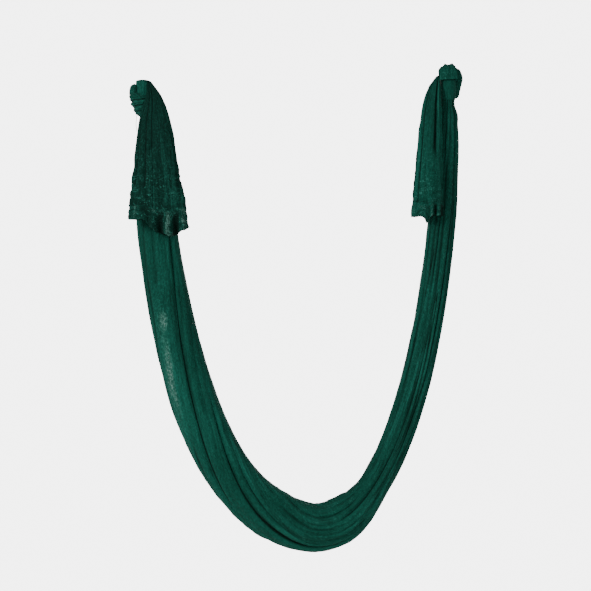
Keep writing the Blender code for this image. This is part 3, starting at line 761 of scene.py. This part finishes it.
# Each tail carries an amount of painted shade that darkens its whole cloth, the left tail most;
# its hem takes most of it.
LEFT_TAIL = {
    "seed": 41, "knot": "wraps", "dusk": 0.74, "lined": 0.5, "rough": 1.0,
    "folds": (119, 23, 34, 52, 40, 48, 44), "layers": 34,
    "creases_end": (0.2,) + (0.31,) * 6,
    "hollows": ((30, 0.02, 0.45, 0.003, 0.007), (58, 0.05, 0.48, 0.0028, 0.008),
                (80, 0.1, 0.47, 0.0016, 0.006), (139, 0.1, 0.47, 0.0022, 0.006)),
    "drops": (-0.014, 0.04, 0.13, 0.452),
    "edge_drops": (-0.014, 0.04, 0.13, 0.29, 0.39, 0.452),
    "lefts": (0.016, 0.013, -0.011, -0.026, -0.037, -0.044),
    "rights": (0.03, 0.067, 0.097, 0.126, 0.143, 0.161),
    "depths": (0.016, 0.024, 0.034, 0.06),
    "lead": (-0.012, 0.006, 0.006),
    "flutes": (0.008, 0.0357, 0.051, 0.0158),
    "hem_line": ((-0.05, 0.002), (-0.012, 0.004), (0.0085, 0.005), (0.0255, 0.021),
                 (0.049, 0.044), (0.0765, 0.051), (0.097, 0.061), (0.114, 0.058),
                 (0.138, 0.041), (0.165, 0.029)),
}
RIGHT_TAIL = {
    "seed": 61, "knot": "cap", "dusk": 0.04, "lined": 0.75, "rough": 0.45,
    "folds": (76, 9, 71, 52, 40, 48, 44, 20), "layers": 50,
    "creases_end": (0.25,) * 2 + (0.42,) * 6,
    "hollows": ((25, 0.05, 0.49, 0.0026, 0.005), (100, 0.08, 0.46, 0.0022, 0.007),
                (128, 0.05, 0.4, 0.002, 0.006)),
    "drops": (0.018, 0.06, 0.15, 0.495),
    "edge_drops": (0.018, 0.06, 0.15, 0.495),
    "lefts": (-0.041, -0.07, -0.095, -0.127),
    "rights": (-0.0305, -0.027, -0.024, -0.022),
    "depths": (0.016, 0.026, 0.036, 0.052),
    "lead": (0.012, 0.006, 0.006),
    "flutes": (-0.084, -0.058, 0.023, 0.008),
    "hem_line": ((-0.13, 0.000), (-0.083, 0.002), (-0.0728, 0.02), (-0.064, 0.002),
                 (-0.045, -0.005), (-0.018, -0.004)),
}


def sling_rows(fall):
    """Rows of points of the gathered cloth, its middle line, lengths and fields."""
    sling, total = fall.sling, fall.total
    pleats = Pleats(SLING_FOLDS, SLING_FIRST_FOLD, mouth=0.21, layers=28)
    length = np.linspace(0.0, total, sling.rings)
    middle, along = fall.at(length)
    outward = np.stack((along[:, 2], 0 * length, -along[:, 0]), axis=-1)[:, None]
    s, fold = length[:, None], pleats.fold
    end = np.minimum(s, total - s)
    dome = (0.55 + 0.45 * np.clip(end / 0.014, 0, 1)) * (1 + 0.035 * smooth((end - 0.09) / 0.05))
    half_width, half_depth = fall.width(s) / 2 * dome, fall.depth(s) / 2 * dome
    half_width = half_width + sling.collar * bell(s, total - 0.125, 0.022)
    loose = smooth((end - 0.1) / 0.15)
    angle = pleats.angle + np.radians(flowing(FOLD_DRIFT, s / total))
    angle = angle + pleats.wander(s * 2.2, radians(2.0), 11) * loose
    angle = angle + pleats.wander(s * 7.0, radians(0.6), 12) * loose
    share, shown, shut = pleats.shaped(np.hstack([between(crease, s)
                                                  for crease in SLING_CREASES]))
    angle = angle - shut
    share = share * (1 + 0.02 * drift(fold * 3.1, s * 3.0, 21) * loose)
    lip = 0.05 * (fold == 2) * smooth(pleats.place % 1 * 2) - 0.03 * (fold == 3)
    share = share + bell(s, 1.74, 0.13) * shown * lip
    girth = (half_width + half_depth) / 2
    q = pleats.angle * girth
    rib = wrinkled(q * 48 + 2.5 * drift(q * 9, s * 5, 30), s * 3.2, 31)
    fine = wrinkled(q * 85 + 3 * drift(q * 20, s * 12, 32), s * 12, 33)
    pull = wrinkled(q * 60 + s * 14, s * 22 - q * 10, 35)
    seat, right = bell(s / total, 0.5, 0.12), smooth((s - 2.0) / 0.4)
    bump = sling.ripple * (rib * (0.5 + 0.9 * seat + 0.7 * right) + fine * (0.25 + 0.3 * seat)
                           + pull * seat)
    calm = 1 - 0.6 * (fold == 2) * (1 - seat * 0.5)
    hollow = pleats.hollows(s, girth, SLING_HOLLOWS, 40) * loose * 1.35
    hollow = hollow * (1 - seat * np.clip(0.1 + 0.9 * drift(q * 24, s * 10, 46), 0, 0.8))
    bump = bump * calm * shown * (0.25 + 0.75 * loose) - hollow
    # Painted shade in the soft hollows and in the valleys of the wrinkles.
    shown = shown * (1 - (0.7 - 0.25 * seat) * np.clip(hollow / 0.004, 0, 1))
    shown = shown * (1 - 0.5 * np.clip(-rib, 0, 1))
    share = share + bump / np.maximum(girth, 0.01)
    rows = round_path(middle, outward, FRONT, half_width * np.cos(angle) * share,
                      half_depth * np.sin(angle) * share)

    place = np.degrees(pleats.angle)
    # Painted satin highlight: a broad bright band on the left arm with brighter streaks, and a
    # little on the right arm.
    satin = bell(place, 72, 30) * smooth((s - 0.35) / 0.5) * smooth((1.75 - s) / 0.4)
    highlight_patch = bell(s, 0.975, 0.1) + 0.8 * bell(s, 0.785, 0.025)
    highlight_streak = bell(place + 12 * drift(s * 9, s * 0, 44), 79, 10) * np.clip(highlight_patch, 0, 1)
    broken = np.clip(0.5 + 1.2 * drift(q * 30, s * 16, 47), 0, 1)
    lined = 0.3 + 0.7 * np.clip(right + seat * smooth((place - 190) / 20), 0, 1)
    return rows, middle, length, {
        "shown": shown, "rub": (satin * 0.5 + highlight_streak * 1.15 + right * 0.2) * shown,
        "pull": np.clip((0.2 * seat + 0.12 * right) * smooth((place - 185) / 25), 0, 1),
        "lined": lined * (1 - 0.7 * seat * broken)}


def left_backs(fall):
    """Y of the left tail's back at each of its drops."""
    knots, = settings("knots")
    knot = 0.008 - fall.sling.left_neck / 2 - knots.wrap_top * 2
    return -0.0133, knot, knot, fall.arm_front(LEFT_TAIL["drops"][-1] + 0.05) - 0.0012


def right_backs(fall):
    """Y of the right tail's back at each of its drops."""
    return (-0.0133, -0.0154,
            *(0.0086 + fall.arm_front(drop - fall.hang.eye_rise, right=True)
              for drop in RIGHT_TAIL["drops"][2:]))


def tail_rows(shape, backs, eye, tails):
    """Rows of points of one tail from inside its knot to the hem's lower edge.

    With them come the middle line, the drops and what the cloth's fields are made of.
    """
    pleats = Pleats(shape["folds"], TAIL_FIRST_FOLD, mouth=0.2, step=3.2,
                    layers=shape["layers"])
    seed, first, last = shape["seed"], shape["drops"][0], shape["drops"][-1]
    share = np.linspace(0, 1, tails.rings)[:, None]
    s = first + (last - first) * share ** 1.15

    def follow(key, values):
        return flowing(list(zip(shape[key], values)), s)

    left, right = follow("edge_drops", shape["lefts"]), follow("edge_drops", shape["rights"])
    depth, back = follow("drops", shape["depths"]), follow("drops", backs)
    half_width, half_depth = (right - left) / 2 * 1.02, depth / 2 * 1.02
    girth, centre = (half_width + half_depth) / 2, (left + right) / 2
    angle = pleats.angle + pleats.wander(s * 6.0, radians(4.0), seed) * share
    q = pleats.angle * girth
    low = smooth((s - (last - 0.24)) / 0.14)
    closed = smooth((s - np.array(shape["creases_end"])) / 0.05)
    cut, seen, _ = pleats.shaped(1.5 - 1.35 * closed)
    rib = wrinkled(q * 70 + 2 * drift(q * 20, s * 8, seed + 6), s * 7, seed + 2)
    puck = wrinkled(q * 60 + 2 * drift(q * 30, s * 30, seed + 7), s * 50, seed + 3)
    lumps = drift(q * 45, s * 36, seed + 8)
    bump = 0.002 * rib + (0.0042 * puck + 0.0024 * lumps) * low * shape["rough"]
    bump = bump * seen - pleats.hollows(s, girth, shape["hollows"], seed)
    radius = cut + bump / np.maximum(girth, 0.01)
    x = centre + half_width * np.cos(angle) * radius
    y = -half_depth * np.sin(angle) * radius
    seam = last - tails.hem_height - 0.006
    down = smooth((s - seam) / (last - seam))
    y = y + 0.0032 * bell(s, seam, 0.005) * seen * np.sign(np.sin(angle))
    start, crest, pitch, tall = shape["flutes"]
    inside = smooth((x - start) * np.sign(pitch) / 0.03)
    wave = np.cos(2 * pi * (x - crest) / pitch + 1.2 * drift(s * 12, s * 0, seed + 4))
    front = np.clip(np.sin(angle) * 1.4, 0, 1) * seen
    frill = drift(x * 95, s * 14, seed + 5)
    y = y - tall * ((wave - 0.25) * inside * down * front)
    y = y - (0.002 + tails.frill * frill) * down * front
    hang = flowing(shape["hem_line"], x) * smooth((s - seam + 0.02) / (last - seam + 0.02))
    z = eye[2] - s - hang - 0.003 * drift(x * 130, s * 0, seed + 9) * down ** 2
    rows = np.stack((eye[0] + x, back - depth / 2 + y, z), axis=-1)
    middle = np.hstack((eye[0] + centre, back - depth / 2, eye[2] - s))
    lead = np.array([middle[0] + np.array(shape["lead"]) * sin(turn)
                     + (rows[0] - middle[0]) * (0.08 + 0.92 * cos(turn))
                     for turn in LEAD_TURNS])
    rows = np.concatenate((lead, rows))
    middle = np.concatenate((lead.mean(axis=1), middle))

    # Painted shade in the flutes' valleys, the puckers' pits and along the seam; painted
    # highlights on the ridges of puckers and flutes.
    valley = np.clip(0.15 - wave * 1.8, 0, 1) * inside * smooth((s - seam) / 0.02)
    pit = np.clip(-1.6 * puck - 0.6 * lumps, 0, 1) * low
    seen = seen * (1 - 0.85 * valley) * (1 - 0.55 * pit) * (1 - 0.5 * bell(s, seam, 0.0035))
    fluted = smooth((s - seam) / 0.012) * inside * np.clip(wave * 2 - 0.9, 0, 1)
    ridge_highlight = np.clip(1.6 * puck + 0.5 * lumps + 1.1 * fluted, 0, 1) * low * seen
    onset = last - 0.28 + 0.07 * np.cos(angle) + 0.05 * drift(q * 14, s * 5, seed + 11)
    pull = np.clip(0.1 + 0.62 * smooth((s - onset) / 0.26) + 0.28 * down, 0, 1)
    fields = [np.concatenate((np.repeat(value[:1], len(lead), axis=0), value))
              for value in (seen, ridge_highlight, pull)]
    return rows, middle, s[:, 0], fields


def hem_rows(rows, thick):
    """Closed band round the lowest rows of a tail: down the outside and up the inside."""
    along = unit(np.gradient(rows, axis=0))
    across = unit(np.gradient(rows, axis=1))
    out = unit(np.cross(across, along))
    grown = np.linspace(0, 1, len(rows))[:, None, None]
    swell = thick * (0.75 + 0.25 * np.sin(pi * grown))
    rim = rows[-1:] + along[-1:] * thick * 1.1
    return np.concatenate((rows + out * swell, rim, (rows - out * swell)[::-1]))


def threads(name, runs, radius, finish, body, sides=6):
    """One piece of thin round threads, each closed, along runs of points."""
    points, faces = [], []
    turn = np.linspace(0, 2 * pi, sides, endpoint=False)
    for run in runs:
        along = unit(np.gradient(run, axis=0))
        side = unit(np.cross(along, (0.31, 0.52, 0.79)))
        other = np.cross(along, side)
        size = np.full((len(run), 1), radius)
        size[[0, -1]] *= 0.4
        first = len(points)
        rows = round_path(run, side[:, None], other[:, None], size * np.cos(turn),
                          size * np.sin(turn))
        points += rows.reshape(-1, 3).tolist()
        last = len(points) - sides
        faces += [(low + j, low + (j + 1) % sides, low + sides + (j + 1) % sides,
                   low + sides + j) for low in range(first, last, sides) for j in range(sides)]
        faces += [range(first + sides - 1, first - 1, -1), range(last, last + sides)]
    obj = new_piece(name, points, faces)
    obj.data.materials.append(finish)
    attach(obj, body)
    return obj


def stitch_runs(lines, shown, tails):
    """Twin rows of stitches that stand on the cloth along two of its rows."""
    runs = []
    rise = np.array((0.0, 1.0, 1.0, 0.0))[:, None] * tails.thread_radius
    for line in lines:
        length = run_of(line)
        for start in np.arange(0, length[-1], tails.stitch_length + tails.stitch_gap):
            places = start + tails.stitch_length * np.linspace(0, 1, 4)
            if np.interp(places, length, shown).min() < 0.7:
                continue
            run = on_path(line, length, places)
            out = unit((run - line.mean(axis=0)) * (1, 1, 0))
            runs.append(run + out * (rise + tails.hem_thick))
    return runs


def ball_rows(fall, knots):
    """Rows of the crumpled ball of wraps: its lobe beside the strap, then round the neck."""
    drop = np.linspace(-knots.lobe_top, knots.ball_drop, 120)
    neck_x = fall.at(np.maximum(drop, 0) + 0.006)[0][:, :1]
    s = drop[:, None]
    grow = smooth((s - 0.022) / 0.024)
    lobe_x = flowing(((-0.006, -0.0262), (0, -0.029), (0.01, -0.0302), (0.034, -0.0312)), s)
    lobe_half = flowing(((-0.006, 0.002), (-0.002, 0.008), (0.008, 0.0122),
                         (0.03, 0.0128)), s)
    centre_x = lobe_x + (neck_x - lobe_x) * grow
    centre_y = -(knots.rod_room + knots.wrap_top) * (1 - grow)
    left = centre_x - flowing(((-0.006, -0.0282), (0, -0.038), (0.01, -0.0425),
                               (0.03, -0.044), (0.048, -0.042), (0.065, -0.0365),
                               (0.082, -0.03), (0.095, -0.0225), (0.106, -0.008)), s)
    wide = flowing(((0.03, 0.036), (0.048, 0.04), (0.065, 0.0385), (0.082, 0.0345),
                    (0.095, 0.029), (0.106, 0.0165)), s)
    right = lobe_half + (wide - lobe_half) * grow
    turn = np.linspace(0, 2 * pi, 141)
    cosine, sine = np.cos(turn), np.sin(turn)
    phase = (s - 0.044) / 0.0195 - turn / (2 * pi) + 0.2 * sine
    phase = phase + 0.12 * drift(turn * 1.6, s * 40, 74)
    groove = (1 - np.abs(np.sin(pi * phase)) ** 0.5) * grow
    crumple = (0.06 * drift(turn * 2.4, s * 110, 71)
               + 0.065 * wrinkled(turn * 3.0 + s * 40, s * 130, 72)
               + 0.045 * drift(turn * 7.0, s * 300, 73))
    share = 1 - (0.15 - 0.07 * np.abs(cosine)) * groove + crumple * (0.5 + 0.5 * grow)
    x = centre_x + np.where(cosine < 0, left, right) * cosine * share
    y = centre_y - right * sine * share
    rows = np.stack((x, y, -s + 0 * x), axis=-1)
    # The last value is painted shade in the grooves between the wraps.
    return rows, np.hstack((centre_x, centre_y, -s)), 1 - 0.9 * np.clip(groove * 1.2, 0, 1)


def strand_rows(points, radii, pleats, seed, crumple, flat):
    """Rows of points of a flattened, gathered strand of cloth, and the lengths along it."""
    along = unit(np.gradient(points, axis=0))
    side = np.zeros_like(points)
    side[0] = unit(np.cross(along[0], (0, 1, 0)))
    for i in range(1, len(points)):
        side[i] = unit(side[i - 1] - along[i] * np.dot(side[i - 1], along[i]))
    other = np.cross(along, side)
    length = run_of(points)
    s = length[:, None]
    angle = pleats.angle + pleats.wander(s * 30, radians(7), seed)
    share = pleats.share * (1 + crumple * drift(pleats.fold * 2.3, s * 55, seed + 1))
    share = share + crumple * 0.5 * drift(pleats.place * 2.1, s * 130, seed + 2)
    rows = round_path(points, side[:, None], other[:, None], radii * np.cos(angle) * share,
                      radii * flat * np.sin(angle) * share)
    return rows, length


def over_eye(fall, eye, neck, thick, front, back, left, right):
    """Path of a strap laid over an eye, that ends at depths in front of it and behind it."""
    middle = fall.rod + thick / 2
    spread = max(neck / 2 + thick / 2, middle)
    under = fall.rod + thick
    path = [(0, -spread, -drop) for drop in (front, (front + under) / 2, under)]
    path += [(0, middle * cos(turn), middle * sin(turn))
             for turn in pi - pi * np.arange(17) / 16]
    path += [(0, spread, -drop) for drop in (under, (back + under) / 2, back)]
    path = np.array(path, float) + ((left + right) / 2, 0, 0)
    turn = Matrix.Rotation(-fall.tilt, 3, "Y")
    return np.array([turn @ Vector(point) for point in path]) + eye


def lay_knot(node, rows, path, seed, held, rests_on, body="sling", dusk=0.0, **fields):
    """Sheet that stands for one of the knots' nodes, with a knit finish of its own."""
    finish = knit(node.replace("knot_", "").replace("eye_", "") + "_knit", seed, dusk)
    cloth = lay_cloth(node + "_cloth", rows, path, finish, (node,), body, **fields)


def inner_turn(side, fall, eye, left, right):
    """Turn of cloth gripped between the rod and the knot."""
    angle = np.linspace(0, 2 * pi, 73)
    x = np.linspace(left, right, 24)[:, None]
    radius = 0.55 + 0.25 * drift(x * 160, angle * 2, 91)
    radius = fall.hang.rod_hole + fall.hang.inner_turn * radius
    rows = np.stack((x + 0 * radius, radius * np.cos(angle), radius * np.sin(angle)), axis=-1)
    rows[:, -1] = rows[:, 0]
    turn = np.array(Matrix.Rotation(-fall.tilt, 3, "Y")).T
    rows = rows @ turn + eye
    middle = np.hstack((x, 0 * x, 0 * x)) @ turn + eye
    node = side + "_eye_turn"
    # Painted shade: the gripped turn is darkened all over and held half in shade.
    lay_knot(node, rows, middle, 9, held="folded", rests_on=node, body="eyes", dusk=0.3,
             shown=0.5, pull=0.3)


def whole_tail(node, eye, shape, backs):
    """One tail with its hem and its stitches."""
    tails, fabric = settings("tails", "fabric")
    seed, dusk, side = shape["seed"], shape["dusk"], node.split("_")[0]
    rows, middle, drop, fields = tail_rows(shape, backs, eye, tails)
    shown, ridge_highlight, pull = fields
    cloth = lay_cloth(node + "_cloth", rows, middle, knit(node + "_knit", seed, dusk), (node,),
                      shown=shown, rub=ridge_highlight * 0.3, pull=pull, lined=shape["lined"])
    start = len(rows) - len(drop)
    start += int(np.searchsorted(drop, shape["drops"][-1] - tails.hem_height))
    around = [np.concatenate((values[start:], values[-1:], values[start:][::-1]))
              for values in fields]
    hem = lay_cloth(node + "_hem_band", hem_rows(rows[start:], tails.hem_thick), None,
                    knit(side + "_hem_knit", seed + 5, dusk * 0.85), (node + "_hem",), node,
                    shown=around[0], rub=around[1] * 0.85, pull=around[2])
    thread = threads(node + "_stitches",
                     stitch_runs(rows[start + 1:start + 3], shown[0], tails),
                     tails.thread_radius, sewing_thread(node + "_stitches", fabric.thread),
                     node)
    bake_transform(cloth)
    float(drop[-1] - drop[0])
    side + "_knot_" + shape["knot"]


def left_wraps(fall, knots):
    """Crumpled ball of wraps round the left neck, with one loose thread below it."""
    rows, path, shown = ball_rows(fall, knots)
    # Painted shade in the wraps' grooves and a faint painted satin highlight all over.
    wraps = lay_cloth("left_knot_wraps_cloth", rows, path, knit("left_wraps_knit", 3),
                      ("left_knot_wraps",), "sling", shown=shown, pull=1.0, rub=0.2)
    run = np.array([THREAD_TOP + Vector((0.001 * sin(t * 9), 0.0008 * t, -THREAD_LENGTH * t))
                    for t in np.linspace(0, 1, 24)])
    fabric, = settings("fabric")
    thread = threads("loose_thread", [run], knots.thread_radius,
                     sewing_thread("loose_thread", fabric.loose), "sling")


def left_strap(fall, knots):
    """Fold of cloth laid over the left eye."""
    path = over_eye(fall, fall.left_eye, fall.sling.left_neck, knots.strap_thick,
                    front=0.0345, back=0.04, left=knots.strap_left, right=knots.strap_right)
    path = resampled(path, 120)
    half = (knots.strap_right - knots.strap_left) / 2 * 1.04
    pleats = Pleats((48, 30, 62, 40, 70, 60, 50), 0, core=0.7, slant=6, step=5)
    rows, length = strand_rows(path, half, pleats, 81, 0.03, knots.strap_thick / 2 / half)
    lay_knot("left_knot_strap", rows, path, 7, held="folded", rests_on="left_eye_turn",
             along=length, shown=pleats.shown, pull=0.25, lined=0.5)


def right_cap(fall, knots):
    """Lumpy fold of cloth laid over the right eye, its lower edges rolled under."""
    path = over_eye(fall, fall.right_eye, fall.sling.right_neck, knots.cap_thick,
                    front=knots.cap_drop, back=knots.cap_drop, left=-knots.cap_half,
                    right=knots.cap_half)
    path = resampled(path, 130)
    pleats = Pleats((34, 52, 26, 64, 44, 70, 70), 4, core=0.72, slant=5, step=4, mouth=0.1)
    rows, length = strand_rows(path, knots.cap_half * 1.02, pleats, 91, 0.05,
                               knots.cap_thick / 2 / knots.cap_half)
    x, z = (rows[..., k] - fall.right_eye[k] for k in (0, 2))
    high = smooth((z - 0.002) / 0.02)
    rows[..., 0] += 0.0085 * high * smooth((-x - 0.008) / 0.02)
    rows[..., 0] -= 0.006 * high * smooth((x - 0.012) / 0.018)
    rows[..., 2] += high * (0.0022 * np.cos(2 * pi * (x - 0.015) / 0.03)
                            + 0.0012 * drift(x * 90, rows[..., 1] * 90, 93))
    low = smooth((-z - knots.cap_drop + 0.016) / 0.01)
    rows[..., 1] += 0.0016 * low * np.sign(rows[..., 1])
    lay_knot("right_knot_cap", rows, path, 12, held="folded", rests_on="right_eye_turn",
             along=length, shown=pleats.shown, pull=0.45)


def right_cup(fall, knots):
    """Smooth cloth pulled round the neck under the cap."""
    bore = fall.sling.right_neck / 2 + 0.0003
    lip, bulge = bore + 0.0022, bore + knots.cup_wall
    share = np.linspace(0, 1, 90)[:, None]
    radius = flowing(((0, lip + 0.0022), (0.14, bulge - 0.0011), (0.36, bulge),
                      (0.62, bulge - 0.0022), (0.84, lip + 0.0011), (1.0, lip)), share)
    top, low = (fall.at(fall.total - above)[0] for above in (0.014, 0.098))
    drop = knots.cap_drop + knots.cap_half * sin(fall.tilt) + 0.0003
    first = (top[2] - fall.right_eye[2] + drop) / (top[2] - low[2])
    way = unit(low - top)
    middle = top + (low - top) * first + way * (share * knots.cup_length)
    angle = np.linspace(radians(95), radians(95 + 366), 200)
    side = unit(np.cross(way, (0.0, 1.0, 0.0)))
    fold = drift(angle * 1.3 + share * 2.2, share * 1.5, 95)
    pull = creased(angle * 5.0 + share * 6.0, share * 2.5, 97)
    reach = np.maximum(radius + 0.0012 * fold - 0.0009 * (1 - pull), bore + 0.0004)
    rows = round_path(middle, side, np.cross(side, way), reach * np.cos(angle),
                      reach * np.sin(angle))
    lay_knot("right_knot_cup", rows, middle, 15, held="stretched",
             rests_on="sling_back_fold", along=share * knots.cup_length, shown=1.0, pull=0.1)


def right_roll(fall, knots):
    """Roll of cloth that comes round the back of the knot, darkened with painted shade."""
    full, length = knots.roll_radius, knots.roll_length
    beside = knots.cap_half + 0.0003 + full
    behind = fall.rod + knots.cap_thick / 2
    neck = fall.at(fall.total - knots.cap_drop)[0] - fall.right_eye
    keep = fall.sling.right_neck / 2 + 0.0006 + knots.cup_wall + full
    share = 0.5 - 0.5 * np.cos(pi * np.arange(41) / 40)
    eased = smooth(share)
    swing = radians(24) + radians(30) * eased
    end = np.minimum(share, 1 - share) * length / full
    radius = full * (1 - (1 - np.minimum(end + 0.02, 1)) ** 2) ** 0.5
    reach, tuck = keep - full + radius, 0.012 * smooth(share * 1.4 - 0.4)
    x = np.maximum(neck[0] + reach * np.cos(swing), beside - full + radius - tuck)
    y = behind * (1 - eased) + reach * np.sin(swing) * eased
    path = np.stack((x, y, 0.01 - length * share), axis=-1) + fall.right_eye
    path = resampled(np.column_stack((path, radius)), 130)
    path, size = path[:, :3], path[:, 3:]
    high = smooth((path[:, 2] - fall.right_eye[2] + 0.022) / 0.03)
    path[:, 0] -= 0.0036 + 0.0075 * high
    path[:, 2] -= 0.003 * high
    pleats = Pleats((70, 58, 84, 66, 82), 150, core=0.62, slant=9, step=6)
    rows, length = strand_rows(path, size * 1.42, pleats, 101, 0.05, 0.76)
    lay_knot("right_knot_roll", rows, path, 18, held="gathered", rests_on="right_knot_cap",
             dusk=0.25, along=length, shown=pleats.shown, pull=0.4)


# Operators, one for each piece or group

class HAMMOCK_OT_sling(bpy.types.Operator):
    """Build the gathered cloth between the two knots"""

    bl_idname = "hammock.sling"
    bl_label = "Sling"

    def execute(self, context):
        fall = Fall()
        rows, middle, length, fields = sling_rows(fall)
        cloth = lay_cloth("sling_cloth", rows, middle, knit("sling_knit"),
                          ("sling_back_fold", "sling_front_fold"), along=length, **fields)
        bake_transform(cloth)
        return {"FINISHED"}


class HAMMOCK_OT_tails(bpy.types.Operator):
    """Build both free ends with their hems and stitches"""

    bl_idname = "hammock.tails"
    bl_label = "Tails"

    def execute(self, context):
        fall = Fall()
        whole_tail("left_tail", fall.left_eye, LEFT_TAIL, left_backs(fall))
        whole_tail("right_tail", fall.right_eye, RIGHT_TAIL, right_backs(fall))
        return {"FINISHED"}


class HAMMOCK_OT_left_knot(bpy.types.Operator):
    """Build the strap, the wraps and the gripped turn of the left knot"""

    bl_idname = "hammock.left_knot"
    bl_label = "Left Knot"

    def execute(self, context):
        knots, = settings("knots")
        fall = Fall()
        left_wraps(fall, knots)
        left_strap(fall, knots)
        inner_turn("left", fall, fall.left_eye, knots.strap_left, knots.strap_right)
        return {"FINISHED"}


class HAMMOCK_OT_right_knot(bpy.types.Operator):
    """Build the cap, the cup, the roll and the gripped turn of the right knot"""

    bl_idname = "hammock.right_knot"
    bl_label = "Right Knot"

    def execute(self, context):
        knots, = settings("knots")
        fall = Fall()
        inner_turn("right", fall, fall.right_eye, -knots.cap_half, knots.cap_half)
        right_cap(fall, knots)
        right_cup(fall, knots)
        right_roll(fall, knots)
        return {"FINISHED"}


class HAMMOCK_OT_stage(bpy.types.Operator):
    """Build the pale floor, the soft lights and the camera"""

    bl_idname = "hammock.stage"
    bl_label = "Stage"
    MIDDLE_X = 0.52

    def execute(self, context):
        stage, = settings("stage")
        scene = context.scene
        self.card(studio_floor("studio_floor", stage.floor_colour), size=6.0,
                  place=(self.MIDDLE_X, 0.6, -stage.floor_drop), tip=0)
        world = scene.world = bpy.data.worlds.new("pale_studio")
        world.use_nodes = True
        light = world.node_tree.nodes["Background"]
        light.inputs[0].default_value = (1, 1, 1, 1)
        light.inputs[1].default_value = 0.32
        self.card(lit_card("lit_backdrop", 5.0), size=12.25, place=(self.MIDDLE_X, 10.5, -0.7),
                  tip=pi / 2)
        self.light("key", (-2.8, -2.8, 1.1), size=1.3, power=200)
        self.light("fill", (2.6, -3.4, -0.4), size=2.0, power=60)
        camera = bpy.data.cameras.new("front_camera")
        camera.sensor_width = 36.0
        camera.lens = camera.sensor_width * stage.distance / stage.view_width
        camera.clip_end = 60
        scene.camera = self.put("front_camera", camera,
                                (stage.view_x, -stage.distance, stage.view_z), (pi / 2, 0, 0))
        return {"FINISHED"}

    def card(self, finish, size, place, tip):
        """Square plane of the stage, tipped up by an angle and named as its finish."""
        bpy.ops.object.select_all(action="DESELECT")
        bpy.ops.mesh.primitive_plane_add(size=size, location=place, rotation=(tip, 0, 0))
        plane = bpy.context.object
        plane.name = finish.name
        bpy.ops.object.transform_apply(location=True, rotation=True, scale=True)
        plane.data.materials.append(finish)

    def light(self, name, place, size, power):
        """Square soft light that looks at the middle of the hammock."""
        data = bpy.data.lights.new(name, "AREA")
        data.shape, data.size, data.energy = "SQUARE", size, power
        aim = Vector((self.MIDDLE_X, 0, -0.75)) - Vector(place)
        self.put(name, data, place, aim.to_track_quat("-Z", "Y").to_euler())

    def put(self, name, data, place, turn):
        """New object in the scene at a place and turn."""
        obj = bpy.data.objects.new(name, data)
        obj.location, obj.rotation_euler = place, turn
        bpy.context.scene.collection.objects.link(obj)
        return obj


class HAMMOCK_PT_panel(bpy.types.Panel):
    """Sidebar panel with the hammock's operators and sizes"""

    bl_idname = "HAMMOCK_PT_panel"
    bl_label = "Hammock"
    bl_space_type = "VIEW_3D"
    bl_region_type = "UI"
    bl_category = "Hammock"

    def draw(self, context):
        layout = self.layout
        for operator in OPERATORS:
            layout.operator(operator.bl_idname)
        for name, group in GROUPS:
            box = layout.box()
            box.label(text=name)
            for key in group.__annotations__:
                box.prop(getattr(context.scene, "hammock_" + name.lower()), key)


GROUPS = (("Hang", HammockHang), ("Sling", HammockSling), ("Tails", HammockTails),
          ("Knots", HammockKnots), ("Fabric", HammockFabric), ("Stage", HammockStage))
OPERATORS = (HAMMOCK_OT_sling, HAMMOCK_OT_tails, HAMMOCK_OT_left_knot, HAMMOCK_OT_right_knot,
             HAMMOCK_OT_stage)


def register():
    """Make the settings, operators and panel known."""
    for name, group in GROUPS:
        bpy.utils.register_class(group)
        setattr(bpy.types.Scene, "hammock_" + name.lower(), PointerProperty(type=group))
    for cls in (*OPERATORS, HAMMOCK_PT_panel):
        bpy.utils.register_class(cls)


def unregister():
    """Take the panel, operators and settings away again."""
    for cls in (HAMMOCK_PT_panel, *reversed(OPERATORS)):
        bpy.utils.unregister_class(cls)
    for name, group in reversed(GROUPS):
        delattr(bpy.types.Scene, "hammock_" + name.lower())
        bpy.utils.unregister_class(group)


def main():
    """Build every piece."""
    register()
    bpy.ops.hammock.stage()
    bpy.ops.hammock.sling()
    bpy.ops.hammock.tails()
    bpy.ops.hammock.left_knot()
    bpy.ops.hammock.right_knot()


if __name__ == "__main__":
    main()
